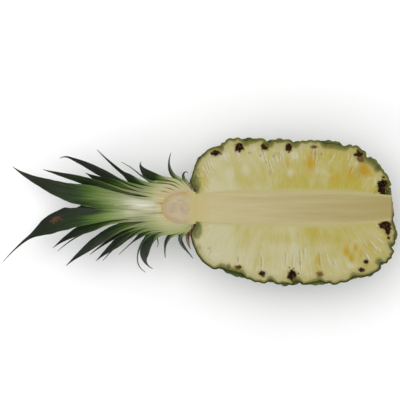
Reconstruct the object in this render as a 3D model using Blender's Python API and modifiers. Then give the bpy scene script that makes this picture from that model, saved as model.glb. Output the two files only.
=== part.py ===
"""Half a pineapple, cut lengthwise through fruit and crown, lying with its cut face up.

Metres, +Z up. The fruit's axis runs along X and the crown points to -X. The cut face is the plane
Z = CUT_HEIGHT, and the origin is on the flat spot under the fruit that the half rests on.
"Along" is a distance along X. An azimuth goes round the axis: 0 is straight down, and +90 and
-90 degrees lie in the cut face on the +Y and the -Y side. "Height" is a distance up the crown.
"""

import math

import bmesh
import bpy
import numpy as np
from mathutils import Vector

MM = 0.001
GAP = 0.3 * MM

# The fruit's barrel, before the eyes stand out of it
FRUIT_RADIUS = 60.6 * MM
WIDEST_ALONG = 8 * MM
CROWN_END_REACH = 95.5 * MM
BASE_END_REACH = 79.3 * MM
CROWN_END_SQUARENESS = 3.6
BASE_END_SQUARENESS = 2.9
CUT_HEIGHT = 59.6 * MM

# The axis of core and crown, and how far the fruit's crown end leans over to it
AXIS_Y = 4.0 * MM
FRUIT_LEAN = 4.2 * MM
LEAN_STARTS, LEAN_ENDS = -50 * MM, -10 * MM

# The eyes: the fruitlets' ends, in one spiral round the fruit
EYE_COUNT = 150
GOLDEN_ANGLE = math.radians(137.508)
EYE_GROOVE = 2.0 * MM
EYE_RISE = 3.2 * MM
EYE_TIP = 1.4 * MM
LOWEST_EYE_ALONG = -8 * MM

# Distances along and radii, in mm: the core, and the hollows that the crown and the stalk leave
CORE = ((-83.3, 11.6), (-68, 12.9), (-40, 14.0), (0, 14.3), (45, 13.9), (72, 12.2), (85, 10.7))
CROWN_HOLLOW = ((-120, 25), (-92, 25), (-88.2, 21), (-86, 18), (-84.3, 15.2))
STALK_HOLLOW = ((85.4, 13.4), (86.6, 18), (89, 23), (110, 23))
TURNED_SIDES = 32

# Brown pits in the cut face where the knife met an eye: along, Y and radius in mm
PITS = (
    (-66.1, 51.2, 2.4),
    (-45.7, 56.5, 3.0),
    (-23.9, 56.7, 2.4),
    (-3.4, 56.5, 2.6),
    (18.3, 56.3, 1.8),
    (57.5, 49.8, 3.0),
    (77.5, 21.5, 3.9),
    (-46.5, -47.4, 1.8),
    (-25.9, -52.5, 2.3),
    (-0.3, -54.3, 3.6),
    (23.5, -53.1, 2.0),
    (59.4, -49.5, 2.2),
    (63.0, -42.2, 1.7),
    (79.0, -11.8, 3.6),
)
PIT_LIFT = 0.3

# The crown's own short stem, which stands on the core and ends in a dome
STEM_FOOT = -83.7 * MM
STEM_RADIUS = 13.8 * MM
STEM_SHOULDER = 12 * MM
STEM_LENGTH = 29 * MM
DOME_RINGS = 6

# The packed leaf bases: their outer surface swells from the stem's foot to PACK_RADIUS
PACK_RADIUS = 29.0 * MM
PACK_DEPTH = 25 * MM
PACK_RISE = 7.6 * MM
PACK_FOOT = 1.8 * MM
PACK_TOP = 32 * MM
FIRST_LEAF_TOP = 9 * MM
TOP_REACHED = 0.35

# A leaf's own shape. Shares run from 0 at its base to 1 at its tip
LEAF_THICKNESS = 1.3 * MM
TIP_THICKNESS_SHARE = 0.7
BASE_WIDTH = 0.62
BLADE_CURL = 17 * MM
CURL_OPENS = (0.15, 0.5)
TURNS_FROM = 0.2
ROLLS_OVER = (0.3, 0.75)
TIP_HALF_WIDTH = 0.4 * MM
TAPER_POWER, TAPER_FULLNESS = 2.0, 1.25
BASE_HANDLE, TIP_HANDLE = 0.35, 0.42
ROW_LENGTH = 22 * MM
STRIPS = 4

# The leaves of three columns, outermost first. Each: azimuth at the tip, how far the tip is up
# the crown and out from its axis in mm, which way it points (0 is up the crown and 90 is outwards),
# width in mm, and how far the blade rolls over on its own midline, in degrees
SIDE_COLUMN = 76
UPPER_LEAVES = (
    (80, 8, 33, 200, 9, -20),
    (76, 21, 49, 112, 13, -10),
    (60, 49, 46, 75, 20, -30),
    (70, 64, 42, 25, 13, 0),
    (66, 85, 55, 48, 17, -25),
    (66, 116, 48, 22, 18, 0),
    (60, 95, 35, 35, 20, 0),
    (56, 132, 40, 30, 23, 0),
    (36, 157, 60, 58, 32, 0),
)
LOWER_LEAVES = (
    (-66, 2, 48, 122, 14, 25),
    (-70, 26, 46, 95, 13, 10),
    (-58, 36, 61, 170, 25, 45),
    (-66, 66, 44, 45, 14, 0),
    (-60, 86, 53, 48, 22, 10),
    (-74, 91, 42, 40, 14, 0),
    (-60, 112, 58, 48, 24, 5),
    (-60, 123, 40, 46, 22, 0),
    (-48, 165, 62, 57, 33, 0),
)
UNDER_LEAVES = (
    (10, 8, 41, 130, 18, 0),
    (-20, 20, 46, 110, 19, 0),
    (20, 40, 49, 95, 21, 0),
    (-12, 58, 50, 75, 22, 0),
    (24, 74, 50, 60, 22, 0),
    (-22, 92, 50, 50, 22, 0),
    (8, 108, 47, 40, 24, 0),
    (24, 122, 46, 30, 22, 0),
    (-28, 141, 52, 46, 25, 0),
    (20, 108, 12, 10, 16, 0),
)
COLUMNS = (
    ("upper", SIDE_COLUMN, UPPER_LEAVES),
    ("lower", -SIDE_COLUMN, LOWER_LEAVES),
    ("under", 0, UNDER_LEAVES),
)

# A knife and a table, each a block much larger than the half
BLOCK = 600 * MM

FLESH_YELLOW = "d2c98c"
RIND_GREEN = "5d6a34"
PIT_BROWN = "5a3c22"
CORE_CREAM = "cbbf8d"
STEM_TAN = "c9b58c"
LEAF_GREEN = "3c4f36"


# Small helpers


def in_metres(pairs):
    return [(along * MM, radius * MM) for along, radius in pairs]


def smooth_step(value, low, high):
    share = np.clip((value - low) / (high - low), 0.0, 1.0)
    return share * share * (3 - 2 * share)


def outwards(azimuth):
    return Vector((0, math.sin(azimuth), -math.cos(azimuth)))


def around_axis(along, radius, azimuth, axis_y):
    """The point that far along, at that radius and azimuth round a line at axis_y."""
    return Vector((along, axis_y, CUT_HEIGHT)) + outwards(azimuth) * radius


def linear_colour(hex_colour):
    """A six-digit sRGB colour as the linear RGBA that Blender's sockets take."""
    channels = [int(hex_colour[i : i + 2], 16) / 255 for i in (0, 2, 4)]
    return [((c + 0.055) / 1.055) ** 2.4 if c > 0.04045 else c / 12.92 for c in channels] + [1]


def make_material(name, hex_colour, roughness):
    material = bpy.data.materials.new(name)
    material.use_nodes = True
    shader = material.node_tree.nodes["Principled BSDF"]
    shader.inputs["Base Color"].default_value = linear_colour(hex_colour)
    shader.inputs["Roughness"].default_value = roughness
    shader.inputs["Metallic"].default_value = 0.0
    return material


def make_collection(name):
    collection = bpy.data.collections.new(name)
    bpy.context.scene.collection.children.link(collection)
    return collection


def add_object(name, bm, collection, material):
    mesh = bpy.data.meshes.new(name)
    bm.to_mesh(mesh)
    bm.free()
    mesh.shade_smooth()
    mesh.materials.append(material)
    made = bpy.data.objects.new(name, mesh)
    collection.objects.link(made)
    return made


def hide_as_cutter(cutter):
    cutter.hide_render = True
    cutter.display_type = "WIRE"
    return cutter


def cut_away(target, cutters):
    """Takes every solid in a collection of cutters out of the target."""
    cut = target.modifiers.new("cut", "BOOLEAN")
    cut.operation = "DIFFERENCE"
    cut.operand_type = "COLLECTION"
    cut.collection = cutters
    cut.solver = "EXACT"
    cut.material_mode = "TRANSFER"


def add_block(name, middle_height, collection, material):
    bm = bmesh.new()
    bmesh.ops.create_cube(bm, size=BLOCK)
    block = hide_as_cutter(add_object(name, bm, collection, material))
    block.location = (0, 0, middle_height)
    return block


def add_turned(name, profile, collection, material):
    """A solid turned round the core's axis, from pairs of along and radius towards +X."""
    bm = bmesh.new()
    ends = (profile[-1][0], 0), (profile[0][0], 0)
    corners = [ends[0], *reversed(profile), ends[1]]
    line = [bm.verts.new((radius, 0, along)) for along, radius in corners]
    for pair in zip(line, line[1:]):
        bm.edges.new(pair)
    made = add_object(name, bm, collection, material)
    made.location = (0, AXIS_Y, CUT_HEIGHT)
    made.rotation_euler = (0, math.pi / 2, 0)
    turn = made.modifiers.new("turn", "SCREW")
    turn.axis = "Z"
    turn.steps = turn.render_steps = TURNED_SIDES
    turn.use_merge_vertices = True
    turn.merge_threshold = 0.01 * MM
    return made


# The fruit


def fruit_profile(angle):
    """Along and radius on the fruit's skin, at an angle that is 0 at the crown end."""
    cosine, sine = np.cos(angle), np.sin(angle)
    squareness = np.where(cosine > 0, CROWN_END_SQUARENESS, BASE_END_SQUARENESS)
    reach = (np.abs(cosine) ** squareness + np.abs(sine) ** squareness) ** (-1 / squareness)
    end = np.where(cosine > 0, CROWN_END_REACH, BASE_END_REACH)
    return WIDEST_ALONG - end * reach * cosine, FRUIT_RADIUS * reach * sine


def fruit_axis_y(along):
    return FRUIT_LEAN * (1 - smooth_step(along, LEAN_STARTS, LEAN_ENDS))


def eye_places():
    """Each eye's along, radius and azimuth, and its latitude on a sphere that keeps its angles.

    The eyes share the skin equally, so each step along their spiral adds the same area.
    """
    angle = np.linspace(0.002, math.pi - 0.002, 1200)
    along, radius = fruit_profile(angle)
    step = np.hypot(np.diff(along), np.diff(radius))
    middle_radius = (radius[1:] + radius[:-1]) / 2
    area = np.concatenate([[0], np.cumsum(step * middle_radius)])
    mercator = np.concatenate([[0], np.cumsum(step / middle_radius)])
    mercator -= np.interp(area[-1] / 2, area, mercator)
    eye_area = (np.arange(EYE_COUNT) + 0.5) / EYE_COUNT * area[-1]
    eye_along, eye_radius = fruit_profile(np.interp(eye_area, area, angle))
    latitude = 2 * np.arctan(np.exp(np.interp(eye_area, area, mercator))) - math.pi / 2
    lowest = np.argmin(np.abs(eye_along - LOWEST_EYE_ALONG))
    azimuth = (np.arange(EYE_COUNT) - lowest) * GOLDEN_ANGLE
    return eye_along, eye_radius, azimuth, latitude


def sphere_hull(latitude, azimuth):
    """The eyes' places on a sphere, joined into triangles, so that each finds its neighbours."""
    hull = bmesh.new()
    for lat, lon in zip(latitude, azimuth):
        hull.verts.new(Vector((math.sin(lat), 0, 0)) + outwards(lon) * math.cos(lat))
    hull.verts.index_update()
    bmesh.ops.convex_hull(hull, input=hull.verts)
    return hull


def faces_in_turn(vert):
    """The faces round a vertex of the sphere, counter-clockwise as seen from outside."""
    out = vert.co.normalized()
    across = out.orthogonal().normalized()
    upward = out.cross(across)

    def turn(face):
        arm = face.calc_center_median() - vert.co
        return math.atan2(arm.dot(upward), arm.dot(across))

    return sorted(vert.link_faces, key=turn)


def eye_cage():
    """A closed cage with one many-sided face for each eye.

    Three eyes meet at each corner, in the middle of the triangle that joins them.
    """
    eye_along, eye_radius, azimuth, latitude = eye_places()
    middles = [
        around_axis(x, r, a, fruit_axis_y(x)) for x, r, a in zip(eye_along, eye_radius, azimuth)
    ]
    hull = sphere_hull(latitude, azimuth)
    cage = bmesh.new()
    corners = {}
    for face in hull.faces:
        corners[face] = cage.verts.new(sum((middles[v.index] for v in face.verts), Vector()) / 3)
    for vert in hull.verts:
        cage.faces.new([corners[face] for face in faces_in_turn(vert)])
    hull.free()
    cage.normal_update()
    return cage


def raise_eyes(cage):
    """Lifts a shield inside each face, with a groove left round it and a blunt tip in its middle."""
    shields = list(cage.faces)
    bmesh.ops.inset_individual(
        cage, faces=shields, thickness=EYE_GROOVE, depth=EYE_RISE, use_even_offset=False
    )
    bmesh.ops.poke(cage, faces=shields, offset=EYE_TIP, center_mode="MEAN")


def bore_profile():
    """What the fruit gives up: the hollow the crown stands in, the core's bore, the stalk's."""
    foot = (STEM_FOOT + GAP, STEM_RADIUS + GAP)
    bore = [(along, radius + GAP) for along, radius in in_metres(CORE[1:])]
    return [*in_metres(CROWN_HOLLOW), foot, *bore, *in_metres(STALK_HOLLOW)]


def add_pits(collection, material):
    """One small ball for each pit, with its middle a little above the cut face."""
    for number, (along, y, radius) in enumerate(PITS, 1):
        ball = bmesh.new()
        bmesh.ops.create_icosphere(ball, subdivisions=1, radius=radius * MM)
        pit = hide_as_cutter(add_object(f"pit_{number:02d}", ball, collection, material))
        pit.location = (along * MM, y * MM, CUT_HEIGHT + PIT_LIFT * radius * MM)


def make_fruit(collection, material, cutters):
    cage = eye_cage()
    raise_eyes(cage)
    fruit = add_object("fruit", cage, collection, material)
    soften = fruit.modifiers.new("soften", "SUBSURF")
    soften.levels = soften.render_levels = 1
    cut_away(fruit, cutters)


# The crown


def stem_radius(height):
    """The crown's stem is a cylinder up to its shoulder, and then a round dome."""
    over = np.clip((height - STEM_SHOULDER) / (STEM_LENGTH - STEM_SHOULDER), 0.0, 1.0)
    return STEM_RADIUS * np.sqrt(1 - over**2)


def stem_profile():
    ring_angles = np.linspace(0, math.pi / 2, DOME_RINGS, endpoint=False)
    dome = STEM_SHOULDER + (STEM_LENGTH - STEM_SHOULDER) * np.sin(ring_angles)
    heights = [0, *dome]
    return [(STEM_FOOT - height, float(stem_radius(height))) for height in reversed(heights)]


def packed_radius(height):
    """The outside of the packed leaf bases, at a height on the crown."""
    risen = 1 - np.exp(-(height - PACK_FOOT) / PACK_RISE)
    return STEM_RADIUS + (PACK_RADIUS - STEM_RADIUS) * risen


def bend(first, leaving, last, arriving):
    """A cubic curve from first to last, leaving and arriving in the two directions."""
    reach = np.linalg.norm(last - first)
    second = first + leaving / np.linalg.norm(leaving) * reach * BASE_HANDLE
    third = last - arriving * reach * TIP_HANDLE
    share = np.linspace(0, 1, 40)[:, None]
    rest = 1 - share
    return rest**3 * first + 3 * rest**2 * share * second + 3 * rest * share**2 * third + share**3 * last


def leaf_line(order, leaf):
    """A leaf's midline, as rows of height and radius from base to tip.

    The base lies on the stem, under every leaf before it, as deep in the pack as its order says
    (0 outermost, 1 innermost). Above the pack the leaf bends away to its own tip.
    """
    _, tip_height, tip_radius, tip_points, *_ = leaf
    depth = PACK_DEPTH * order
    heights = np.linspace(MM, PACK_TOP, 400)
    over_stem = packed_radius(heights) - depth - stem_radius(heights)
    is_free = over_stem > GAP + LEAF_THICKNESS / 2
    base = heights[np.argmax(is_free)] if is_free.any() else PACK_TOP
    rise = (PACK_TOP - FIRST_LEAF_TOP) * smooth_step(order, 0.0, TOP_REACHED)
    top = max(FIRST_LEAF_TOP + rise, base + MM)
    packed = np.linspace(base, top, 12)
    packed_line = np.column_stack([packed, packed_radius(packed) - depth])
    blade = bend(
        packed_line[-1],
        packed_line[-1] - packed_line[-2],
        np.array([tip_height, tip_radius]) * MM,
        np.array([math.cos(math.radians(tip_points)), math.sin(math.radians(tip_points))]),
    )
    return np.vstack([packed_line, blade[1:]])


def line_sampler(line):
    """A function of the share of the line's length, giving height, radius and slope there."""
    steps = np.linalg.norm(np.diff(line, axis=0), axis=1)
    travelled = np.concatenate([[0], np.cumsum(steps)])
    shares = travelled / travelled[-1]
    slopes = np.unwrap(np.arctan2(np.gradient(line[:, 1], shares), np.gradient(line[:, 0], shares)))

    def sample(share):
        return [float(np.interp(share, shares, values)) for values in (*line.T, slopes)]

    return sample, travelled[-1]


def half_width_at(share, radius, width):
    """Half the leaf's width: it tapers to the tip, and its base fits into the pack."""
    taper = (1 - share**TAPER_POWER) ** TAPER_FULLNESS
    room = max(radius - LEAF_THICKNESS / 2, LEAF_THICKNESS / 2) * BASE_WIDTH
    return min(width / 2 * MM * taper + TIP_HALF_WIDTH, room)


def leaf_point(sample, share, across, azimuth, width, roll):
    """The point at a share of the leaf's length and from -1 to 1 across its width."""
    height, radius, slope = sample(share)
    half_width = half_width_at(share, radius, width)
    curl = radius + (BLADE_CURL - radius) * smooth_step(share, *CURL_OPENS)
    curl = max(curl, half_width, LEAF_THICKNESS)
    turned = half_width * across / curl
    outward = outwards(azimuth)
    flat_side = Vector((0, math.cos(azimuth), math.sin(azimuth)))
    flat_inward = Vector((-math.sin(slope), 0, 0)) - outward * math.cos(slope)
    sideways = flat_side * math.cos(roll) + flat_inward * math.sin(roll)
    inward = flat_inward * math.cos(roll) - flat_side * math.sin(roll)
    middle = around_axis(STEM_FOOT - height, radius, azimuth, AXIS_Y)
    return middle + sideways * curl * math.sin(turned) + inward * curl * (1 - math.cos(turned))


def make_leaf(name, order, column, leaf, collection, material, knife):
    """An open strip, channelled lengthwise, then given its thickness and cut by the knife."""
    tip_azimuth, *_, width, tip_roll = leaf
    sample, length = line_sampler(leaf_line(order, leaf))
    rows = STRIPS + 1 + round(length / ROW_LENGTH)
    bm = bmesh.new()
    bmesh.ops.create_grid(bm, x_segments=rows, y_segments=STRIPS, size=1)
    thickness_shares = []
    for vert in bm.verts:
        share = (vert.co.x + 1) / 2
        turned = smooth_step(share, TURNS_FROM, 1.0)
        azimuth = math.radians(column + (tip_azimuth - column) * turned)
        roll = math.radians(tip_roll * smooth_step(share, *ROLLS_OVER))
        vert.co = leaf_point(sample, share, vert.co.y, azimuth, width, roll)
        thickness_shares.append(1 - share * (1 - TIP_THICKNESS_SHARE))
    bmesh.ops.triangulate(bm, faces=bm.faces)
    made = add_object(name, bm, collection, material)
    group = made.vertex_groups.new(name="thickness")
    for index, weight in enumerate(thickness_shares):
        group.add([index], weight, "REPLACE")
    skin = made.modifiers.new("skin", "SOLIDIFY")
    skin.thickness = LEAF_THICKNESS
    skin.offset = 0
    skin.vertex_group = group.name
    cut_away(made, knife)


def make_leaves(collection, material, knife):
    """Layer by layer inwards, one leaf from each column, each a little deeper than the last."""
    layers = max(len(leaves) for _, _, leaves in COLUMNS)
    for place, (title, column, leaves) in enumerate(COLUMNS):
        for layer, leaf in enumerate(leaves):
            order = (layer + (place + 0.5) / len(COLUMNS)) / layers
            name = f"leaf_{title}_{layer + 1:02d}"
            make_leaf(name, order, column, leaf, collection, material, knife)


def main():
    for old in list(bpy.data.objects):
        bpy.data.objects.remove(old)
    half = make_collection("pineapple_half")
    knife = make_collection("knife")
    fruit_cutters = make_collection("fruit_cutters")

    flesh = make_material("flesh", FLESH_YELLOW, 0.4)
    rind = make_material("rind", RIND_GREEN, 0.6)
    pit = make_material("pit", PIT_BROWN, 0.6)
    core = make_material("core", CORE_CREAM, 0.5)
    stem = make_material("crown_stem", STEM_TAN, 0.5)
    leaf = make_material("leaf", LEAF_GREEN, 0.45)

    blade = add_block("knife_blade", CUT_HEIGHT + BLOCK / 2, knife, flesh)
    fruit_cutters.objects.link(blade)
    add_block("table", -BLOCK / 2, fruit_cutters, rind)
    hide_as_cutter(add_turned("bore", bore_profile(), fruit_cutters, flesh))
    add_pits(fruit_cutters, pit)

    make_fruit(half, rind, fruit_cutters)
    cut_away(add_turned("core", in_metres(CORE), half, core), knife)
    cut_away(add_turned("crown_stem", stem_profile(), half, stem), knife)
    make_leaves(half, leaf, knife)


main()
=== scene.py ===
"""Looks for half a pineapple, cut lengthwise through fruit and crown and laid with its cut face up.

Metres, +Z up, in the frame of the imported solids: the fruit's axis runs along X, the crown points to
-X, and the cut face is a horizontal plane. "Along" is a distance along X. An azimuth goes round the
axis: 0 is straight down, and +90 and -90 degrees lie in the cut face on the +Y and the -Y side.
"""

import math

import bmesh
import bpy
import numpy as np
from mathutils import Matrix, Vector, noise
from mathutils.bvhtree import BVHTree
from mathutils.kdtree import KDTree


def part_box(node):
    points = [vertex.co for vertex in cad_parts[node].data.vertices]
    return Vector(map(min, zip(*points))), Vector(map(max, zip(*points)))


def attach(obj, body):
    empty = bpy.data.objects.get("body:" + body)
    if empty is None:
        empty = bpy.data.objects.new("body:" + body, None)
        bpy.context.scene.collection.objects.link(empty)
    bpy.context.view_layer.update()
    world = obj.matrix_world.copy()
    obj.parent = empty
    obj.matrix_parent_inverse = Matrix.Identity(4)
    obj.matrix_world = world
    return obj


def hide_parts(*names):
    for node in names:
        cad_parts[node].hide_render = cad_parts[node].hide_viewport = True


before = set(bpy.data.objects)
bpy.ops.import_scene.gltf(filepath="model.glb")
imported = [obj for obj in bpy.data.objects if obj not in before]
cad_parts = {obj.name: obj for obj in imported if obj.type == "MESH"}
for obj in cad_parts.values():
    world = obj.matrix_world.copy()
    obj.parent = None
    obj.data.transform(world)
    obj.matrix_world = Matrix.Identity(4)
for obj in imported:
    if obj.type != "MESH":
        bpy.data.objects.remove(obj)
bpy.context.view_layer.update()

MM = 0.001
CUT_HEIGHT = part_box("fruit")[1].z

# ---------------------------------------------------------------------------------------------
# The view, the table and the light. The camera looks straight down on the cut face from far off,
# as the photograph does, over a plain white table under one broad overhead softbox and a pale room.

PHOTO_SIDE_PX = 400
MM_PER_PX = 0.86
VIEW_MIDDLE = Vector((-79.7, 10.75, 0)) * MM
CAMERA_HEIGHT = 4.0
SENSOR = 36.0

camera_data = bpy.data.cameras.new("camera")
camera_data.sensor_width = SENSOR
camera_data.lens = SENSOR * CAMERA_HEIGHT / (PHOTO_SIDE_PX * MM_PER_PX * MM)
camera_data.clip_end = 5 * CAMERA_HEIGHT
camera = bpy.data.objects.new("camera", camera_data)
camera.location = VIEW_MIDDLE + Vector((0, 0, CUT_HEIGHT + CAMERA_HEIGHT))
bpy.context.scene.collection.objects.link(camera)
bpy.context.scene.camera = camera
bpy.context.scene.view_settings.view_transform = "Standard"


def linear(hex_colour):
    """A six-digit sRGB colour as the linear RGBA that Blender's sockets take."""
    channels = [int(hex_colour[i : i + 2], 16) / 255 for i in (0, 2, 4)]
    return [((c + 0.055) / 1.055) ** 2.4 if c > 0.04045 else c / 12.92 for c in channels] + [1]


def feed(tree, target, inputs):
    """Sets each input of a node to a value, or joins it to a socket or to a node's first output."""
    for name, value in inputs.items():
        named = (socket for socket in target.inputs if socket.name == name and socket.enabled)
        socket = target.inputs[name] if isinstance(name, int) else next(named)
        if isinstance(value, bpy.types.Node):
            value = next(output for output in value.outputs if output.enabled)
        if isinstance(value, bpy.types.NodeSocket):
            tree.links.new(value, socket)
        else:
            socket.default_value = value


def add_node(tree, kind, inputs=None, **settings):
    """A node with its settings and its inputs."""
    made = tree.nodes.new(kind)
    for name, value in settings.items():
        setattr(made, name, value)
    feed(tree, made, inputs or {})
    return made


def new_material(name, **values):
    """A material whose Principled shader has these constants on its own sockets."""
    material = bpy.data.materials.new(name)
    material.use_nodes = True
    shader = material.node_tree.nodes["Principled BSDF"]
    for socket, value in values.items():
        shader.inputs[socket.replace("_", " ")].default_value = value
    return material, material.node_tree, shader


# Matt white laminate, with a mottle too faint to draw the eye
TABLE_SIDE, MOTTLES_PER_METRE = 6.0, 9.0
table_white, tree, shader = new_material("white_laminate_table", Roughness=0.9)
place = add_node(tree, "ShaderNodeTexCoord").outputs["Object"]
mottle = add_node(tree, "ShaderNodeTexNoise", {"Vector": place, "Scale": MOTTLES_PER_METRE})
whites = {"Factor": mottle, "A": linear("f4f4f3"), "B": linear("f8f8f7")}
feed(tree, shader, {"Base Color": add_node(tree, "ShaderNodeMix", whites, data_type="RGBA")})

table_mesh = bmesh.new()
bmesh.ops.create_grid(table_mesh, x_segments=2, y_segments=2, size=TABLE_SIDE / 2)
table_data = bpy.data.meshes.new("table")
table_mesh.to_mesh(table_data)
table_mesh.free()
table_data.materials.append(table_white)
table = bpy.data.objects.new("table", table_data)
bpy.context.scene.collection.objects.link(table)

ROOM_STRENGTH = 0.74
room = bpy.data.worlds.new("room")
room.use_nodes = True
room.node_tree.nodes["Background"].inputs["Color"].default_value = linear("fdfeff")
room.node_tree.nodes["Background"].inputs["Strength"].default_value = ROOM_STRENGTH
bpy.context.scene.world = room

# Each softbox: place, side in metres and power in watts. All of them point at the fruit
SOFTBOXES = (
    ("overhead", (-0.25, 0.35, 1.9), 1.6, 18.0),
    ("crown_side", (-1.5, -0.7, 1.2), 0.9, 5.0),
)
for title, place, side, power in SOFTBOXES:
    lamp = bpy.data.lights.new(title, "AREA")
    lamp.shape = "SQUARE"
    lamp.size = side
    lamp.energy = power
    softbox = bpy.data.objects.new(title, lamp)
    softbox.location = place
    softbox.rotation_euler = (-Vector(place)).to_track_quat("-Z", "Y").to_euler()
    bpy.context.scene.collection.objects.link(softbox)

# ---------------------------------------------------------------------------------------------
# The rind: a thin waxy skin of about 150 eyes, the ends of the fruitlets, in one spiral. Each eye
# is a shield with a bract over its lower half, three sepals above, and a groove round it. The skin
# curls in at both ends round the stem and the stalk's scar, and is cut off level by the knife.

FRUIT_RADIUS = 60.6 * MM
WIDEST_ALONG = 8 * MM
CROWN_END_REACH = 95.5 * MM
BASE_END_REACH = 79.3 * MM
CROWN_END_SQUARENESS = 3.6
BASE_END_SQUARENESS = 2.9
FRUIT_LEAN = 4.2 * MM
LEAN_STARTS, LEAN_ENDS = -50 * MM, -10 * MM
AXIS_Y = sum(corner.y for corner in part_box("core")) / 2

EYE_COUNT = 150
GOLDEN_ANGLE = math.radians(137.508)
LOWEST_EYE_ALONG = -8 * MM
EDGE_STEPS = 6
RING_SHARES = (0.975, 0.94, 0.89, 0.83, 0.76, 0.68, 0.59, 0.49, 0.39, 0.29, 0.19, 0.09)
ROUNDED_FROM, ROUNDED_TO = 0.45, 1.0

GROOVE_FLOOR = -1.1 * MM
SHIELD_RISE, LOWEST_SHIELD, SHIELD_RANGE = 3.0 * MM, 0.8, 0.4
SHIELD_EDGE, RELIEF_EDGE = (0.62, 0.97), (0.78, 0.98)
SINKS_AT_ENDS = 1.1 * MM
SINKS_OVER = (38 * MM, 74 * MM)
BOSS_RISE, BOSS_SIZE, BOSS_FORWARD = 0.9 * MM, 0.2, 0.05
MOAT_DEPTH, MOAT_SHARE, MOAT_WIDTH = 0.7 * MM, 0.36, 0.1
BRACT_STEP, BRACT_TIP, BRACT_LENGTH, BRACT_HALF_WIDTH = 0.45 * MM, 0.3, 1.15, 0.6
BRACT_EDGE, SEAM_STARTS = (-0.04, 0.05), (0.22, 0.34)
SEAM_DEPTH, SEAM_WIDTH, SEAM_ANGLE = 0.5 * MM, 0.055, math.radians(62)
WRINKLE_DEPTH, WRINKLE_SIZE = 0.22 * MM, 2.6 * MM
SKIN_WALL = 1.2 * MM
SHARP_OVER = math.radians(50)
TONE_SEED = 11

# The knife evened the eyes that it sliced at the crown end: their height there, how much of their
# relief went, and where along and how far under the cut. The base end leans a little to +Y
EVENED_HEIGHT, EVENED_SHARE = 1.3 * MM, 0.85
EVENED_ALONG, EVENED_UNDER_CUT = (60 * MM, 74 * MM), 12 * MM
BASE_LEAN, BASE_LEANS_OVER = 0.1, (35 * MM, 80 * MM)

# Where the skin curls in at each end: pairs of radius and along in mm, and the hole in its middle
CROWN_DISH = ((13, -83.4), (15.2, -84.3), (18, -86), (21, -88.2), (25, -92))
BASE_DISH = ((11, 84.9), (13.4, 85.4), (18, 86.6), (23, 89), (27, 96))
CROWN_HOLE, BASE_HOLE = 14.0 * MM, 11.2 * MM
DISH_ROUGHNESS, DISH_LUMPS, BASE_SMOOTHER = 0.5 * MM, 3 * MM, 0.5


def smooth_step(value, low, high):
    """0 up to low and 1 from high on, eased between them."""
    share = np.clip((value - low) / (high - low), 0.0, 1.0)
    return share * share * (3 - 2 * share)


def outwards(azimuth):
    """The direction away from the fruit's axis at an azimuth."""
    return Vector((0, math.sin(azimuth), -math.cos(azimuth)))


def fruit_profile(angle):
    """Along and radius on the smooth barrel, at an angle that is 0 at the crown end."""
    cosine, sine = np.cos(angle), np.sin(angle)
    squareness = np.where(cosine > 0, CROWN_END_SQUARENESS, BASE_END_SQUARENESS)
    reach = (np.abs(cosine) ** squareness + np.abs(sine) ** squareness) ** (-1 / squareness)
    end = np.where(cosine > 0, CROWN_END_REACH, BASE_END_REACH)
    return WIDEST_ALONG - end * reach * cosine, FRUIT_RADIUS * reach * sine


def fruit_axis_y(along):
    """Where the fruit's axis is in Y: it leans to +Y towards the crown."""
    return FRUIT_LEAN * (1 - smooth_step(along, LEAN_STARTS, LEAN_ENDS))


def eye_places():
    """Each eye's along, radius and azimuth, and its latitude on a sphere that keeps its angles."""
    angle = np.linspace(0.002, math.pi - 0.002, 1200)
    along, radius = fruit_profile(angle)
    step = np.hypot(np.diff(along), np.diff(radius))
    middle_radius = (radius[1:] + radius[:-1]) / 2
    area = np.concatenate([[0], np.cumsum(step * middle_radius)])
    mercator = np.concatenate([[0], np.cumsum(step / middle_radius)])
    mercator -= np.interp(area[-1] / 2, area, mercator)
    eye_area = (np.arange(EYE_COUNT) + 0.5) / EYE_COUNT * area[-1]
    eye_along, eye_radius = fruit_profile(np.interp(eye_area, area, angle))
    latitude = 2 * np.arctan(np.exp(np.interp(eye_area, area, mercator))) - math.pi / 2
    lowest = np.argmin(np.abs(eye_along - LOWEST_EYE_ALONG))
    azimuth = (np.arange(EYE_COUNT) - lowest) * GOLDEN_ANGLE
    return eye_along, eye_radius, azimuth, latitude


def faces_in_turn(vert):
    """The faces round a vertex of the sphere, counter-clockwise as seen from outside."""
    out = vert.co.normalized()
    across = out.orthogonal().normalized()
    upward = out.cross(across)

    def turn(face):
        arm = face.calc_center_median() - vert.co
        return math.atan2(arm.dot(upward), arm.dot(across))

    return sorted(vert.link_faces, key=turn)


def eye_network():
    """The middles of the eyes, the corners of the grooves between them, and each eye's corners."""
    eye_along, eye_radius, azimuth, latitude = eye_places()
    middles = [
        Vector((x, fruit_axis_y(x), CUT_HEIGHT)) + outwards(turned) * float(radius)
        for x, radius, turned in zip(eye_along, eye_radius, azimuth)
    ]
    hull = bmesh.new()
    for lat, lon in zip(latitude, azimuth):
        hull.verts.new(Vector((math.sin(lat), 0, 0)) + outwards(lon) * math.cos(lat))
    hull.verts.index_update()
    bmesh.ops.convex_hull(hull, input=hull.verts)
    hull.faces.index_update()
    corners = [sum((middles[v.index] for v in f.verts), Vector()) / 3 for f in hull.faces]
    rounds = [[face.index for face in faces_in_turn(vert)] for vert in hull.verts]
    hull.free()
    return np.array(middles), np.array(corners), rounds


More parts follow.
